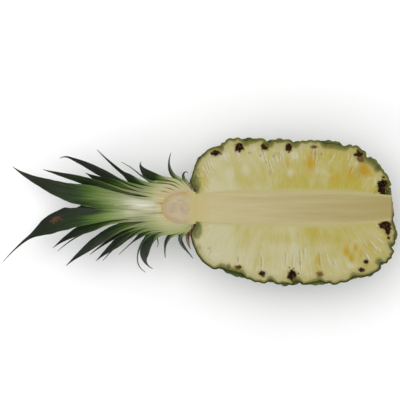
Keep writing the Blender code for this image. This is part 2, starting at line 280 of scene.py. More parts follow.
def on_barrel(points):
    """Each point moved onto the smooth barrel, and the barrel's outward direction there."""
    y, z = points[:, 1] - fruit_axis_y(points[:, 0]), points[:, 2] - CUT_HEIGHT
    radius = np.maximum(np.hypot(y, z), 1e-9)
    end = np.where(points[:, 0] < WIDEST_ALONG, CROWN_END_REACH, BASE_END_REACH)
    angle = np.arctan2(radius / FRUIT_RADIUS, (WIDEST_ALONG - points[:, 0]) / end)
    along, skin_radius = fruit_profile(angle)
    ahead, behind = fruit_profile(angle + 1e-3), fruit_profile(angle - 1e-3)
    down_along, down_radius = ahead[0] - behind[0], ahead[1] - behind[1]
    length = np.hypot(down_along, down_radius)
    place = np.column_stack([along, fruit_axis_y(along), np.full(len(along), CUT_HEIGHT)])
    place[:, 1:] += np.column_stack([y, z]) * (skin_radius / radius)[:, None]
    lift = (down_along / length / radius)[:, None]
    return place, np.column_stack([-down_radius / length, np.column_stack([y, z]) * lift])


def eye_patches(middles, corners, rounds):
    """Rings of points from each eye's border in to its middle, with the borders shared.

    Gives the points, each one's share of the way to the border, its eye (or -1), and the faces.
    """
    points, shares, eyes, faces, border = [], [], [], [], {}

    def add(point, share, eye):
        points.append(point)
        shares.append(share)
        eyes.append(eye)
        return len(points) - 1

    def border_point(start, end, step):
        along_edge = step if start < end else EDGE_STEPS - step
        key = start if step == 0 else (min(start, end), max(start, end), along_edge)
        if key not in border:
            at = corners[start] + (corners[end] - corners[start]) * step / EDGE_STEPS
            border[key] = add(at, 1.0, -1)
        return border[key]

    for eye, turn in enumerate(rounds):
        middle = middles[eye]
        ring = [
            border_point(start, end, step)
            for start, end in zip(turn, turn[1:] + turn[:1])
            for step in range(EDGE_STEPS)
        ]
        arms = np.array([points[i] for i in ring]) - middle
        lengths = np.linalg.norm(arms, axis=1)[:, None]
        round_arms = arms / lengths * lengths.mean()
        for share in RING_SHARES:
            edged = smooth_step(share, ROUNDED_FROM, ROUNDED_TO)
            level = middle + share * (round_arms + (arms - round_arms) * edged)
            inner = [add(at, share, eye) for at in level]
            faces += [
                (ring[i], ring[(i + 1) % len(ring)], inner[(i + 1) % len(ring)], inner[i])
                for i in range(len(ring))
            ]
            ring = inner
        centre = add(middle, 0.0, eye)
        faces += [(ring[i], ring[(i + 1) % len(ring)], centre) for i in range(len(ring))]
    return np.array(points), np.array(shares), np.array(eyes), faces


def eye_axes(middles, corners, rounds):
    """Each eye's own frame: outwards, towards the crown and sideways, and its mean size."""
    _, normals = on_barrel(middles)
    crownward = np.array([-1.0, 0, 0]) - normals * -normals[:, :1]
    crownward /= np.linalg.norm(crownward, axis=1)[:, None]
    sideways = np.cross(normals, crownward)
    sizes = [
        np.linalg.norm(corners[turn] - middle, axis=1).mean()
        for turn, middle in zip(rounds, middles)
    ]
    return normals, crownward, sideways, np.array(sizes)


def eye_relief(share, crownward, sideways, tone):
    """Height of an eye over its groove: shield, boss, moat, bract and the sepals' seams."""
    inside = 1 - smooth_step(share, *RELIEF_EDGE)
    from_boss = np.hypot(crownward - BOSS_FORWARD, sideways)
    shield = SHIELD_RISE * (LOWEST_SHIELD + SHIELD_RANGE * tone)
    shield = shield * (1 - smooth_step(share, *SHIELD_EDGE))
    boss = BOSS_RISE * np.exp(-((from_boss / BOSS_SIZE) ** 2))
    moat = MOAT_DEPTH * np.exp(-(((from_boss - MOAT_SHARE) / MOAT_WIDTH) ** 2))
    from_tip = np.clip((BRACT_TIP - crownward) / BRACT_LENGTH, 0, 1)
    bract = BRACT_HALF_WIDTH * np.sqrt(from_tip) - np.abs(sideways)
    bract = BRACT_STEP * smooth_step(bract, *BRACT_EDGE)
    seam = np.zeros_like(share)
    for turned in (-SEAM_ANGLE, 0.0, SEAM_ANGLE):
        off = np.abs(crownward * math.sin(turned) - sideways * math.cos(turned))
        ahead = crownward * math.cos(turned) + sideways * math.sin(turned)
        seam += np.exp(-((off / SEAM_WIDTH) ** 2)) * smooth_step(ahead, *SEAM_STARTS)
    return shield + inside * (boss - moat + bract - SEAM_DEPTH * np.clip(seam, 0, 1))


def roughened(points, size, seed, octaves=2):
    """Smooth noise from about -1 to 1 at each point, whose lumps are of that size."""
    offset = Vector((seed * 17.3, seed * 5.1, seed * 9.7))
    return np.array([noise.fractal(Vector(p) / size + offset, 1.0, 2.0, octaves) for p in points])


def curl_in(points):
    """Follows the dish at each end, and keeps clear of the holes in their middles."""
    y, z = points[:, 1] - AXIS_Y, points[:, 2] - CUT_HEIGHT
    radius = np.maximum(np.hypot(y, z), 1e-6)
    crown_dish, base_dish = np.array(CROWN_DISH).T * MM, np.array(BASE_DISH).T * MM
    rough = DISH_ROUGHNESS * roughened(points, DISH_LUMPS, seed=7)
    points[:, 0] = np.maximum(points[:, 0], np.interp(radius, *crown_dish) + rough)
    points[:, 0] = np.minimum(points[:, 0], np.interp(radius, *base_dish) + rough * BASE_SMOOTHER)
    hole = np.where(points[:, 0] < 0, CROWN_HOLE, BASE_HOLE)
    in_hole = radius < hole
    out = np.where(in_hole, hole / radius, 1.0)
    points[:, 1] = AXIS_Y + y * out
    points[:, 2] = CUT_HEIGHT + z * out
    return in_hole


def vertex_normals(points, faces):
    """Area-weighted outward directions, from the corners before and after each face's first one."""
    total = np.zeros_like(points)
    for face_size in (3, 4):
        same = np.array([face for face in faces if len(face) == face_size])
        if len(same):
            first, second, last = (points[same[:, corner]] for corner in (0, 1, -1))
            cross = np.cross(second - first, last - first)
            for corner in range(face_size):
                np.add.at(total, same[:, corner], cross)
    return total / np.maximum(np.linalg.norm(total, axis=1), 1e-12)[:, None]


def mesh_of(points, faces, **values):
    """A bmesh of these points and faces, with a float layer on its vertices for each value."""
    bm = bmesh.new()
    layers = [(bm.verts.layers.float.new(name), per_point) for name, per_point in values.items()]
    verts = [bm.verts.new(point) for point in points]
    for layer, per_point in layers:
        for vert, value in zip(verts, per_point):
            vert[layer] = value
    for face in faces:
        bm.faces.new([verts[i] for i in face])
    return bm


def knife_cut(bm, under=0.0):
    """Takes off what stands over the cut face and closes the cut. Gives the cut's edges."""
    everything = bm.verts[:] + bm.edges[:] + bm.faces[:]
    knife = {"plane_co": (0, 0, CUT_HEIGHT - under), "plane_no": (0, 0, 1), "clear_outer": True}
    cut = bmesh.ops.bisect_plane(bm, geom=everything, dist=1e-7, **knife)
    edges = [item for item in cut["geom_cut"] if isinstance(item, bmesh.types.BMEdge)]
    if edges:
        bmesh.ops.triangle_fill(bm, use_beauty=True, edges=edges, normal=(0, 0, 1))
    return edges


def add_piece(name, bm, *materials):
    """A piece whose place is in its mesh, shaded smooth except across sharp edges."""
    mesh = bpy.data.meshes.new(name)
    bm.to_mesh(mesh)
    bm.free()
    mesh.shade_smooth()
    mesh.set_sharp_from_angle(angle=SHARP_OVER)
    for material in materials:
        mesh.materials.append(material)
    piece = bpy.data.objects.new(name, mesh)
    bpy.context.scene.collection.objects.link(piece)
    return piece


def skin_height(skin, shares, crownward, sideways, tone):
    """How far the skin stands out from the barrel: its eyes, lower at the ends and where sliced."""
    height = GROOVE_FLOOR + eye_relief(shares, crownward, sideways, tone)
    height -= SINKS_AT_ENDS * smooth_step(np.abs(skin[:, 0] - WIDEST_ALONG), *SINKS_OVER)
    sliced = EVENED_SHARE * smooth_step(skin[:, 2], CUT_HEIGHT - EVENED_UNDER_CUT, CUT_HEIGHT)
    height += (EVENED_HEIGHT - height) * sliced * smooth_step(-skin[:, 0], *EVENED_ALONG)
    return height + WRINKLE_DEPTH * roughened(skin, WRINKLE_SIZE, seed=3)


def walled(outer, faces):
    """Points and faces of a skin's outer and inner walls, joined round its open edges."""
    inner_wall = outer - vertex_normals(outer, faces) * SKIN_WALL
    below = len(outer)
    steps = dict.fromkeys(step for face in faces for step in zip(face, face[1:] + face[:1]))
    open_steps = [(start, end) for start, end in steps if (end, start) not in steps]
    rims = [(end, start, start + below, end + below) for start, end in open_steps]
    inside = [tuple(i + below for i in reversed(face)) for face in faces]
    return np.vstack([outer, inner_wall]), faces + inside + rims


def make_rind():
    """The skin cut level with the knife, the cut's edges, and what the bract tips stand on."""
    network = eye_network()
    points, shares, eyes, faces = eye_patches(*network)
    eye_normals, crownward, sideways, sizes = eye_axes(*network)
    inner = eyes >= 0
    own = eyes[inner]
    from_middle = points[inner] - network[0][own]
    arms = np.zeros((len(points), 2))
    for column, axes in enumerate((crownward, sideways)):
        arms[inner, column] = np.einsum("ij,ij->i", from_middle, axes[own]) / sizes[own]
    tones = np.random.default_rng(TONE_SEED).random(EYE_COUNT)
    tone = np.where(inner, tones[eyes], 0.5)
    skin, normals = on_barrel(points)
    outer = skin + normals * skin_height(skin, shares, *arms.T, tone)[:, None]
    in_hole = curl_in(outer)
    outer[:, 0] -= BASE_LEAN * (outer[:, 1] - AXIS_Y) * smooth_step(outer[:, 0], *BASE_LEANS_OVER)
    outer[:, 2] = np.maximum(outer[:, 2], 0.0)
    faces = [face for face in faces if not in_hole[list(face)].all()]
    values = {"eye": shares, "crownward": arms[:, 0], "tone": tone}
    values = {title: np.tile(value, 2) for title, value in values.items()}
    values["inner"] = np.repeat([0.0, 1.0], len(outer))
    bm = mesh_of(*walled(outer, faces), **values)
    loose = [vert for vert in bm.verts if not vert.link_faces]
    bmesh.ops.delete(bm, geom=loose, context="VERTS")
    return bm, knife_cut(bm), (outer[shares == 0], eye_normals, crownward)


rind_mesh, rind_cut, rind_eyes = make_rind()


def skin_lines(edges, inner, eye):
    """The inner wall's line in the cut face, in two runs from crown to base: +Y side, then -Y."""
    joined = {}
    for edge in edges:
        if all(vert[inner] > 0.99 for vert in edge.verts):
            for vert in edge.verts:
                joined.setdefault(vert, []).append(edge.other_vert(vert))
    runs = []
    for side in (1, -1):
        ends = [v for v, others in joined.items() if len(others) == 1 and (v.co.y - AXIS_Y) * side > 0]
        vert, before, run = min(ends, key=lambda v: v.co.x), None, []
        while vert is not None:
            run.append((*vert.co.xy, vert[eye]))
            ahead = [other for other in joined[vert] if other is not before]
            vert, before = (ahead[0] if ahead and len(run) < len(joined) else None), vert
        runs.append(np.array(run))
    return runs


float_layers = rind_mesh.verts.layers.float
upper_skin, lower_skin = skin_lines(rind_cut, float_layers["inner"], float_layers["eye"])
rind_walls = BVHTree.FromBMesh(rind_mesh)

# Cuticle over green and brown tissue: a dull waxy skin with a pale bloom on the shields. It is
# darkest in the grooves, and dry and brown where bract and sepals meet in each eye's middle
SPECK_SIZE, CLOUD_SIZE, SCURF_SIZE = 0.9 * MM, 9 * MM, 1.5 * MM
waxy_skin, tree, shader = new_material("waxy_pineapple_skin", Roughness=0.68, Specular_IOR_Level=0.14)
drawn = {
    title: add_node(tree, "ShaderNodeAttribute", attribute_name=title).outputs["Fac"]
    for title in ("eye", "crownward", "tone")
}
place = add_node(tree, "ShaderNodeTexCoord").outputs["Object"]
parts = add_node(tree, "ShaderNodeSeparateXYZ", {"Vector": place}).outputs
specks, clouds, scurf = (
    add_node(tree, "ShaderNodeTexNoise", {"Vector": place, "Scale": 1 / size, "Detail": detail})
    for size, detail in ((SPECK_SIZE, 3.0), (CLOUD_SIZE, 2.0), (SCURF_SIZE, 4.0))
)
uneven = drawn["tone"]
for value, weight in ((clouds, 1.3), (drawn["crownward"], -0.45)):
    uneven = add_node(tree, "ShaderNodeMath", {0: value, 1: weight, 2: uneven}, operation="MULTIPLY_ADD")
ragged = add_node(tree, "ShaderNodeMath", {0: specks, 1: 0.22, 2: drawn["eye"]}, operation="MULTIPLY_ADD")

# What drives each layer, where the layer starts and is full, and how strong it is there
eased = {
    "ripened": (uneven, 0.55, 1.75, 1.0),
    "bloom_and_painted_sheen": (scurf, 0.45, 0.8, 0.34),
    "dried": (ragged, 0.5, 0.2, 0.85),
    "grooved": (ragged, 0.82, 1.1, 1.0),
}
for title, (value, start, full, most) in eased.items():
    eased[title] = {"Value": value, "From Min": start, "From Max": full, "To Max": most}
    eased[title] = add_node(tree, "ShaderNodeMapRange", eased[title], interpolation_type="SMOOTHSTEP")

# The cut edge is painted lighter to +Y, painted light on its lit side, and darker beside the crown
sliced = {0: parts["Z"], 1: CUT_HEIGHT - 0.1 * MM}
sliced = add_node(tree, "ShaderNodeMath", sliced, operation="GREATER_THAN")
lit_side = {"Value": parts["Y"], "From Min": -45 * MM, "From Max": 45 * MM}
lit_side = {**lit_side, "To Min": -0.45, "To Max": 0.35}
lit_side = add_node(tree, "ShaderNodeMapRange", lit_side)
off_crown = {"Value": parts["X"], "From Min": -85 * MM, "From Max": -35 * MM}
off_crown = {**off_crown, "To Min": -0.45, "To Max": 0.0}
off_crown = add_node(tree, "ShaderNodeMapRange", off_crown)
rim_shade = add_node(tree, "ShaderNodeMath", {0: lit_side, 1: off_crown}, operation="ADD")
rim_shade = add_node(tree, "ShaderNodeMath", {0: clouds, 1: 1.3, 2: rim_shade}, operation="MULTIPLY_ADD")
rim_shade = add_node(tree, "ShaderNodeMapRange", {"Value": rim_shade, "From Min": 0.1, "From Max": 1.2})
ground, brown, rim = (
    add_node(tree, "ShaderNodeMix", {"Factor": factor, "A": linear(a), "B": linear(b)}, data_type="RGBA")
    for factor, a, b in (
        (eased["ripened"], "33451a", "666527"),
        (specks, "332a14", "77693f"),
        (rim_shade, "282f09", "60611f"),
    )
)
for factor, over in (
    (eased["bloom_and_painted_sheen"], linear("8a8f6c")),
    (eased["dried"], brown),
    (eased["grooved"], linear("1c2412")),
    (sliced, rim),
):
    ground = {"Factor": factor, "A": ground, "B": over}
    ground = add_node(tree, "ShaderNodeMix", ground, data_type="RGBA")
pores = {"Strength": 0.5, "Distance": 0.25 * MM, "Height": scurf}
pores = add_node(tree, "ShaderNodeBump", pores)
feed(tree, shader, {"Base Color": ground, "Normal": pores})

rind = add_piece("rind", rind_mesh, waxy_skin)
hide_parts("fruit")
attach(rind, "root")

# ---------------------------------------------------------------------------------------------
# The bract tips: each eye's bract ends in a dry papery point, which lies over the middle of the eye
# towards the crown. One tip is laid on each eye that stands clear of the knife and the table.

TIP_LENGTH, TIP_WIDTH, TIP_PAPER = 8.5 * MM, 6.5 * MM, 0.45 * MM
TIP_CREST, TIP_LIFT, TIP_SINK = 3.5 * MM, 1.0 * MM, 1.7 * MM
TIP_STARTS_BACK = 3.6 * MM
CLEAR_OF_CUT, CLEAR_OF_TABLE, CLEAR_OF_AXIS = 4.5 * MM, 4.0 * MM, 24 * MM
TIP_TURNS, TIP_SIZES, TIP_SEED = 0.3, (0.7, 1.1), 4

tops, tops_out, tops_crownward = rind_eyes
from_axis = np.hypot(tops[:, 1] - AXIS_Y, tops[:, 2] - CUT_HEIGHT)
clear = (tops[:, 2] < CUT_HEIGHT - CLEAR_OF_CUT) & (tops[:, 2] > CLEAR_OF_TABLE)
clear &= from_axis > CLEAR_OF_AXIS
seats = tops - tops_crownward * TIP_STARTS_BACK - tops_out * TIP_SINK
seat_mesh = bpy.data.meshes.new("dry_bract_tips")
seat_mesh.from_pydata(seats[clear].tolist(), [], [])
seat_layers = {"outwards": tops_out, "crownwards": tops_crownward}
for title, directions in seat_layers.items():
    layer = seat_mesh.attributes.new(title, "FLOAT_VECTOR", "POINT")
    layer.data.foreach_set("vector", directions[clear].ravel())

# Dead papery bract: straw and grey-brown, dull, with fine fibres along it, palest at its frayed point
PAPER_FIBRE, PAPER_BLOTCH = 0.5 * MM, 3 * MM
bract_paper, tree, shader = new_material("dry_bract_paper", Roughness=0.85, Specular_IOR_Level=0.12)
along_tip, tip_tone = (
    add_node(tree, "ShaderNodeAttribute", attribute_name=title).outputs["Fac"]
    for title in ("along_tip", "tip_tone")
)
place = add_node(tree, "ShaderNodeTexCoord").outputs["Object"]
fibres, blotches = (
    add_node(tree, "ShaderNodeTexNoise", {"Vector": place, "Scale": 1 / size, "Detail": 2.0})
    for size in (PAPER_FIBRE, PAPER_BLOTCH)
)
aged = add_node(tree, "ShaderNodeMath", {0: blotches, 1: tip_tone}, operation="ADD")
aged = add_node(tree, "ShaderNodeMapRange", {"Value": aged, "From Min": 0.6, "From Max": 1.3})
paper = {"Factor": aged, "A": linear("5a4728"), "B": linear("85764f")}
paper = add_node(tree, "ShaderNodeMix", paper, data_type="RGBA")
rooted = {"Value": along_tip, "From Min": 0.6, "From Max": 0.1}
rooted = add_node(tree, "ShaderNodeMapRange", rooted, interpolation_type="SMOOTHSTEP")
streaky = {"Value": fibres, "From Min": 0.5, "From Max": 0.8, "To Max": 0.7}
streaky = add_node(tree, "ShaderNodeMapRange", streaky)
for factor, colour in ((rooted, "4a4f20"), (streaky, "3a2a18")):
    paper = {"Factor": factor, "A": paper, "B": linear(colour)}
    paper = add_node(tree, "ShaderNodeMix", paper, data_type="RGBA")
creased = add_node(tree, "ShaderNodeBump", {"Strength": 0.6, "Distance": 0.2 * MM, "Height": fibres})
feed(tree, shader, {"Base Color": paper, "Normal": creased})

# One curled point, swept along a short curve, on every seat
tips_tree = bpy.data.node_groups.new("dry_bract_tips", "GeometryNodeTree")
tips_tree.interface.new_socket("Geometry", in_out="OUTPUT", socket_type="NodeSocketGeometry")
tip_inputs = {
    "Geometry": ("NodeSocketGeometry", None),
    "Length": ("NodeSocketFloat", TIP_LENGTH),
    "Width": ("NodeSocketFloat", TIP_WIDTH),
    "Paper": ("NodeSocketFloat", TIP_PAPER),
    "Crest": ("NodeSocketFloat", TIP_CREST),
    "Lift": ("NodeSocketFloat", TIP_LIFT),
    "Turns": ("NodeSocketFloat", TIP_TURNS),
    "Smallest": ("NodeSocketFloat", TIP_SIZES[0]),
    "Largest": ("NodeSocketFloat", TIP_SIZES[1]),
    "Seed": ("NodeSocketInt", TIP_SEED),
    "Material": ("NodeSocketMaterial", bract_paper),
}
for title, (kind, _) in tip_inputs.items():
    tips_tree.interface.new_socket(title, in_out="INPUT", socket_type=kind)
given = add_node(tips_tree, "NodeGroupInput").outputs
half_length = add_node(tips_tree, "ShaderNodeMath", {0: given["Length"], 1: 0.55}, operation="MULTIPLY")
spine = {
    "Resolution": 7,
    "Start": (0, 0, 0),
    "Middle": add_node(tips_tree, "ShaderNodeCombineXYZ", {"X": half_length, "Z": given["Crest"]}),
    "End": add_node(tips_tree, "ShaderNodeCombineXYZ", {"X": given["Length"], "Z": given["Lift"]}),
}
spine = add_node(tips_tree, "GeometryNodeCurveQuadraticBezier", spine)
share = add_node(tips_tree, "GeometryNodeSplineParameter").outputs["Factor"]
marked = {"Geometry": spine, "Name": "along_tip", "Value": share}
marked = add_node(tips_tree, "GeometryNodeStoreNamedAttribute", marked, data_type="FLOAT", domain="POINT")
narrowing = add_node(tips_tree, "ShaderNodeMath", {0: share, 1: 1.6}, operation="POWER")
narrowing = {0: narrowing, 1: -0.95, 2: 1.0}
narrowing = add_node(tips_tree, "ShaderNodeMath", narrowing, operation="MULTIPLY_ADD")
widening = {"Value": share, "From Min": 0.0, "From Max": 0.4, "To Min": 0.3, "To Max": 1.0}
widening = add_node(tips_tree, "ShaderNodeMapRange", widening, interpolation_type="SMOOTHSTEP")
narrowing = add_node(tips_tree, "ShaderNodeMath", {0: narrowing, 1: widening}, operation="MULTIPLY")
flat_ring = add_node(tips_tree, "GeometryNodeCurvePrimitiveCircle", {"Resolution": 6, "Radius": 0.5})
flat_scale = {"X": given["Width"], "Y": given["Paper"], "Z": 1.0}
flat_scale = add_node(tips_tree, "ShaderNodeCombineXYZ", flat_scale)
flat_ring = add_node(tips_tree, "GeometryNodeTransform", {"Geometry": flat_ring, "Scale": flat_scale})
point = {"Curve": marked, "Profile Curve": flat_ring, "Scale": narrowing, "Fill Caps": True}
point = add_node(tips_tree, "GeometryNodeCurveToMesh", point)
point = add_node(tips_tree, "GeometryNodeSetShadeSmooth", {"Geometry": point, "Shade Smooth": True})
outwards_here, crownwards_here = (
    add_node(tips_tree, "GeometryNodeInputNamedAttribute", {"Name": title}, data_type="FLOAT_VECTOR")
    for title in seat_layers
)
facing = {"Primary Axis": outwards_here, "Secondary Axis": crownwards_here}
facing = add_node(tips_tree, "FunctionNodeAxesToRotation", facing, primary_axis="Z", secondary_axis="X")
size = {"Min": given["Smallest"], "Max": given["Largest"], "Seed": given["Seed"]}
size = add_node(tips_tree, "FunctionNodeRandomValue", size, data_type="FLOAT")
laid = {"Points": given["Geometry"], "Instance": point, "Rotation": facing, "Scale": size}
laid = add_node(tips_tree, "GeometryNodeInstanceOnPoints", laid)
least_turn = add_node(tips_tree, "ShaderNodeMath", {0: given["Turns"], 1: -1.0}, operation="MULTIPLY")
turn = {"Min": least_turn, "Max": given["Turns"], "Seed": given["Seed"]}
turn = add_node(tips_tree, "FunctionNodeRandomValue", turn, data_type="FLOAT")
turn = add_node(tips_tree, "ShaderNodeCombineXYZ", {"Z": turn})
laid = {"Instances": laid, "Rotation": turn, "Local Space": True}
laid = add_node(tips_tree, "GeometryNodeRotateInstances", laid)
tone = add_node(tips_tree, "FunctionNodeRandomValue", {"Seed": given["Seed"]}, data_type="FLOAT")
laid = {"Geometry": laid, "Name": "tip_tone", "Value": tone}
laid = add_node(tips_tree, "GeometryNodeStoreNamedAttribute", laid, data_type="FLOAT", domain="INSTANCE")
laid = add_node(tips_tree, "GeometryNodeRealizeInstances", {"Geometry": laid})
laid = add_node(tips_tree, "GeometryNodeSetMaterial", {"Geometry": laid, "Material": given["Material"]})
add_node(tips_tree, "NodeGroupOutput", {"Geometry": laid})

tips = bpy.data.objects.new("dry_bract_tips", seat_mesh)
bpy.context.scene.collection.objects.link(tips)
laying = tips.modifiers.new("dry_bract_tips", "NODES")
laying.node_group = tips_tree
for item in tips_tree.interface.items_tree:
    if item.in_out == "INPUT" and item.name != "Geometry":
        laying[item.identifier] = tip_inputs[item.name][1]
laid_tips = tips.evaluated_get(bpy.context.evaluated_depsgraph_get())
laid_tips = bpy.data.meshes.new_from_object(laid_tips)
tips.modifiers.remove(laying)
tips.data = laid_tips
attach(tips, "root")

# ---------------------------------------------------------------------------------------------
# The flesh: fills the rind up to the cut and holds the core. Fibres run out from the core to each
# fruitlet's end, so its grid follows them. The knife opened some seed chambers as thin slits, and
# cut into brown blossom cups under the eyes as pits.

CORE = ((-83.6, 11.6), (-68, 12.9), (-40, 14.0), (0, 14.3), (45, 13.9), (72, 12.2), (85, 10.7))
CORE_OVERLAP = 0.1 * MM
FLESH_COLUMNS, FLESH_ROWS, TROUGH_ROWS, UNDERSIDE_ROWS = 400, 72, 16, 44
FLESH_RECESS = 0.12 * MM
FINER_AT_SKIN = 0.35
AXIS_ENDS = 66 * MM
FITS_CLOSE, FITS_LOOSE, LOOSE_UNDER_CUT = 0.3 * MM, 1.5 * MM, (3 * MM, 12 * MM)
LIP_ROWS = (90, 89, 87.5, 85)
HELD_BY_CORE, HELD_BY_SKIN = 0.25, 2 * MM
SHRINKAGE, CUT_RUN_MM = 0.15 * MM, 200
SLIT_SEED, TROUGH_DEPTH_MM, MAP_STEP = 5, 30, 0.5

# The cut face's relief: height, width and length of its lumps, level in the noise, and seed
FLESH_RELIEFS = ((0.16 * MM, 1.3 * MM, 11 * MM, 0, 20), (0.3 * MM, 6 * MM, 18 * MM, 1, 30))

# Pits in the cut face: along, Y, how far they reach along and across in mm, and how dark they are
PITS = (
    (-66.1, 51.2, 3.8, 2.3, 1.0),
    (-45.7, 56.3, 3.4, 3.4, 1.0),
    (-23.9, 56.5, 2.9, 2.9, 0.95),
    (-3.4, 56.3, 2.6, 3.2, 1.0),
    (18.3, 56.3, 2.4, 1.4, 0.5),
    (57.5, 50.2, 3.4, 2.8, 0.8),
    (58.5, 46.5, 4.0, 3.0, 0.45),
    (78.6, 21.5, 5.0, 6.6, 1.0),
    (78.4, 30.2, 1.4, 1.1, 0.8),
    (-46.5, -47.4, 2.4, 1.8, 0.7),
    (-25.9, -52.5, 2.7, 2.2, 0.85),
    (-0.3, -54.1, 3.6, 4.2, 1.0),
    (23.5, -53.1, 2.8, 2.1, 0.45),
    (59.4, -49.5, 2.6, 1.9, 0.75),
    (63.0, -42.2, 1.7, 1.5, 0.95),
    (80.0, -11.0, 4.2, 3.6, 1.0),
    (82.0, -15.5, 2.4, 3.4, 0.9),
    (82.6, -22.0, 1.3, 1.3, 0.7),
)
PIT_DEPTH_SHARE, PIT_RAGGEDNESS, PIT_LOBES, PIT_EDGE = 1.1, 0.5, 2.2 * MM, (0.65, 1.25)
PATCH_RAGGEDNESS, PATCH_LOBES, PATCH_FADES_AT = 0.7, 6.5 * MM, 1.3
EYES_ALONG_CUT, SLITS_PER_EYE, SLIT_SCATTER = 12, 3, 0.2
SLIT_STARTS, SLIT_LENGTHS, SLIT_STRENGTHS = (0.4, 0.72), (0.1, 0.3), (0.2, 0.65)
SLIT_WANDER, SLIT_BENDS = 1.5, 9
SLIT_EDGE, AIRY_EDGE, KNIFE_IN_EYE = (0.3, 1.0), (0.3, 1.5), 0.8

# The grid's columns stand closer at the core than at the skin, by this share
CORE_SPACING = 0.4
SLIT_DEPTH, SLIT_HALF_WIDTH, SLIT_END, AIRY_ASIDE = 0.35 * MM, 0.55 * MM, 0.03, 1.6

# Riper fruitlets in the cut face: along, Y, how far they reach along and across in mm, strength
RIPE_PATCHES = (
    (15.3, 43.0, 5.0, 10.0, 1.1),
    (61.5, 36.5, 7.5, 8.0, 1.15),
    (45.0, 38.0, 3.5, 7.0, 0.45),
    (50.5, 32.0, 5.0, 7.0, 0.7),
    (46.5, -33.5, 3.6, 6.0, 0.9),
    (50.5, -39.0, 3.8, 6.0, 0.95),
    (54.5, -30.0, 2.8, 5.5, 0.9),
    (58.5, -36.0, 2.4, 5.0, 0.7),
    (-4.5, 42.0, 3.6, 7.0, 0.55),
    (37.0, 29.5, 6.0, 7.0, 0.45),
    (21.8, -41.0, 3.4, 6.5, 0.6),
    (64.0, -28.0, 4.0, 5.0, 0.25),
)

# Yellow-olive flesh, mostly beside the core, and whitish flesh where the air got in, likewise
YELLOW_PATCHES = (
    (8.0, 25.0, 34.0, 12.0, 0.62),
    (42.0, 24.0, 20.0, 15.0, 0.8),
    (-26.0, 27.0, 26.0, 9.0, 0.3),
    (28.0, -19.5, 32.0, 10.0, 0.45),
    (-12.0, -22.0, 20.0, 8.0, 0.3),
    (-80.0, 27.0, 10.0, 13.0, 0.8),
    (-76.0, -14.0, 8.0, 10.0, 0.3),
    (68.0, 12.0, 10.0, 8.0, 0.35),
)
PALE_PATCHES = (
    (-53.7, 33.2, 5.0, 7.0, 0.6),
    (-40.7, 36.7, 4.0, 6.0, 0.55),
    (-60.0, 48.5, 5.0, 4.0, 0.6),
    (-26.0, 48.5, 5.0, 6.0, 0.65),
    (-1.5, 34.4, 4.5, 4.5, 0.75),
    (2.0, 49.0, 4.5, 3.5, 0.7),
    (0.8, -32.8, 4.5, 7.5, 0.8),
    (5.2, -46.5, 2.5, 4.0, 0.75),
    (50.6, -45.0, 6.0, 4.0, 0.6),
    (-66.0, -24.0, 17.0, 16.0, 0.45),
    (76.0, 9.0, 9.0, 4.5, 0.6),
    (74.0, -5.0, 9.0, 4.0, 0.6),
    (-70.0, 26.0, 16.0, 12.0, 0.3),
    (17.0, 26.0, 3.5, 6.0, 0.4),
    (72.0, 42.0, 6.0, 8.0, 0.35),
)

# Bruises, and the green tissue where the skin curls in round the crown's stem, in the same terms
BRUISES = (
    (-83.0, 35.6, 3.6, 4.6, 1.0),
    (-80.8, -30.0, 3.0, 3.0, 0.7),
    (-72.1, -30.8, 1.6, 1.4, 0.9),
    (61.0, 44.0, 3.5, 4.0, 0.7),
    (58.0, 35.0, 8.0, 7.0, 0.3),
    (62.0, 12.0, 3.0, 2.0, 0.25),
    (-14.0, 51.0, 2.5, 2.5, 0.35),
    (20.0, 51.5, 3.0, 3.5, 0.5),
    (63.5, -45.0, 3.0, 2.5, 0.5),
    (24.7, 50.3, 1.1, 1.6, 1.3),
    (-16.6, 48.5, 1.0, 2.0, 1.2),
    (-27.8, 49.1, 1.0, 1.5, 1.1),
    (-37.2, 51.3, 2.4, 0.8, 0.9),
    (-19.5, 34.4, 1.4, 2.6, 0.7),
    (-47.0, -40.5, 1.2, 3.5, 0.9),
    (6.4, -43.4, 1.0, 2.4, 1.2),
)
HALO_RIM, HALO_SPREAD = 0.9, 1.2
PIT_HALOS = tuple(
    (x, y, HALO_RIM + HALO_SPREAD * wide, HALO_RIM + HALO_SPREAD * high, dark)
    for x, y, wide, high, dark in PITS
)
MOSSY_LOBES = (
    (-84.8, 23.5, 6.5, 9.5, 1.0),
    (-82.6, -14.0, 6.0, 9.5, 1.0),
    (74.0, -42.0, 4.0, 4.0, 0.7),
    (-55.0, -47.0, 2.6, 4.0, 0.8),
)


def spaced(line, count):
    """Points at equal steps along a line, with whatever else each of its points carries."""
    travelled = np.concatenate([[0], np.cumsum(np.hypot(*np.diff(line[:, :2], axis=0).T))])
    at = np.linspace(0, travelled[-1], count)
    return np.column_stack([np.interp(at, travelled, column) for column in line.T])


def core_edge(side):
    """The core's edge in the cut face, on the +Y or the -Y side."""
    along, radius = np.array(CORE).T * MM
    dense = np.linspace(along[0], along[-1], 300)
    return np.column_stack([dense, AXIS_Y + side * (np.interp(dense, along, radius) - CORE_OVERLAP)])


def eye_middles(skin_eye):
    """Where along the skin's line the knife passed nearest to an eye's middle."""
    before, here, after = skin_eye[:-2], skin_eye[1:-1], skin_eye[2:]
    return np.flatnonzero((here < before) & (here <= after) & (here < KNIFE_IN_EYE)) + 1


def seed_slits(skin_eye, rng):
    """Each slit's column, the shares of the way to the skin where it starts and ends, and depth."""
    width = FLESH_COLUMNS / EYES_ALONG_CUT
    slits = []
    for middle in eye_middles(skin_eye):
        for _ in range(SLITS_PER_EYE):
            start = rng.uniform(*SLIT_STARTS)
            end = start + rng.uniform(*SLIT_LENGTHS)
            column = middle + rng.normal(0, SLIT_SCATTER) * width
            slits.append((column, start, end, rng.uniform(*SLIT_STRENGTHS)))
    return slits


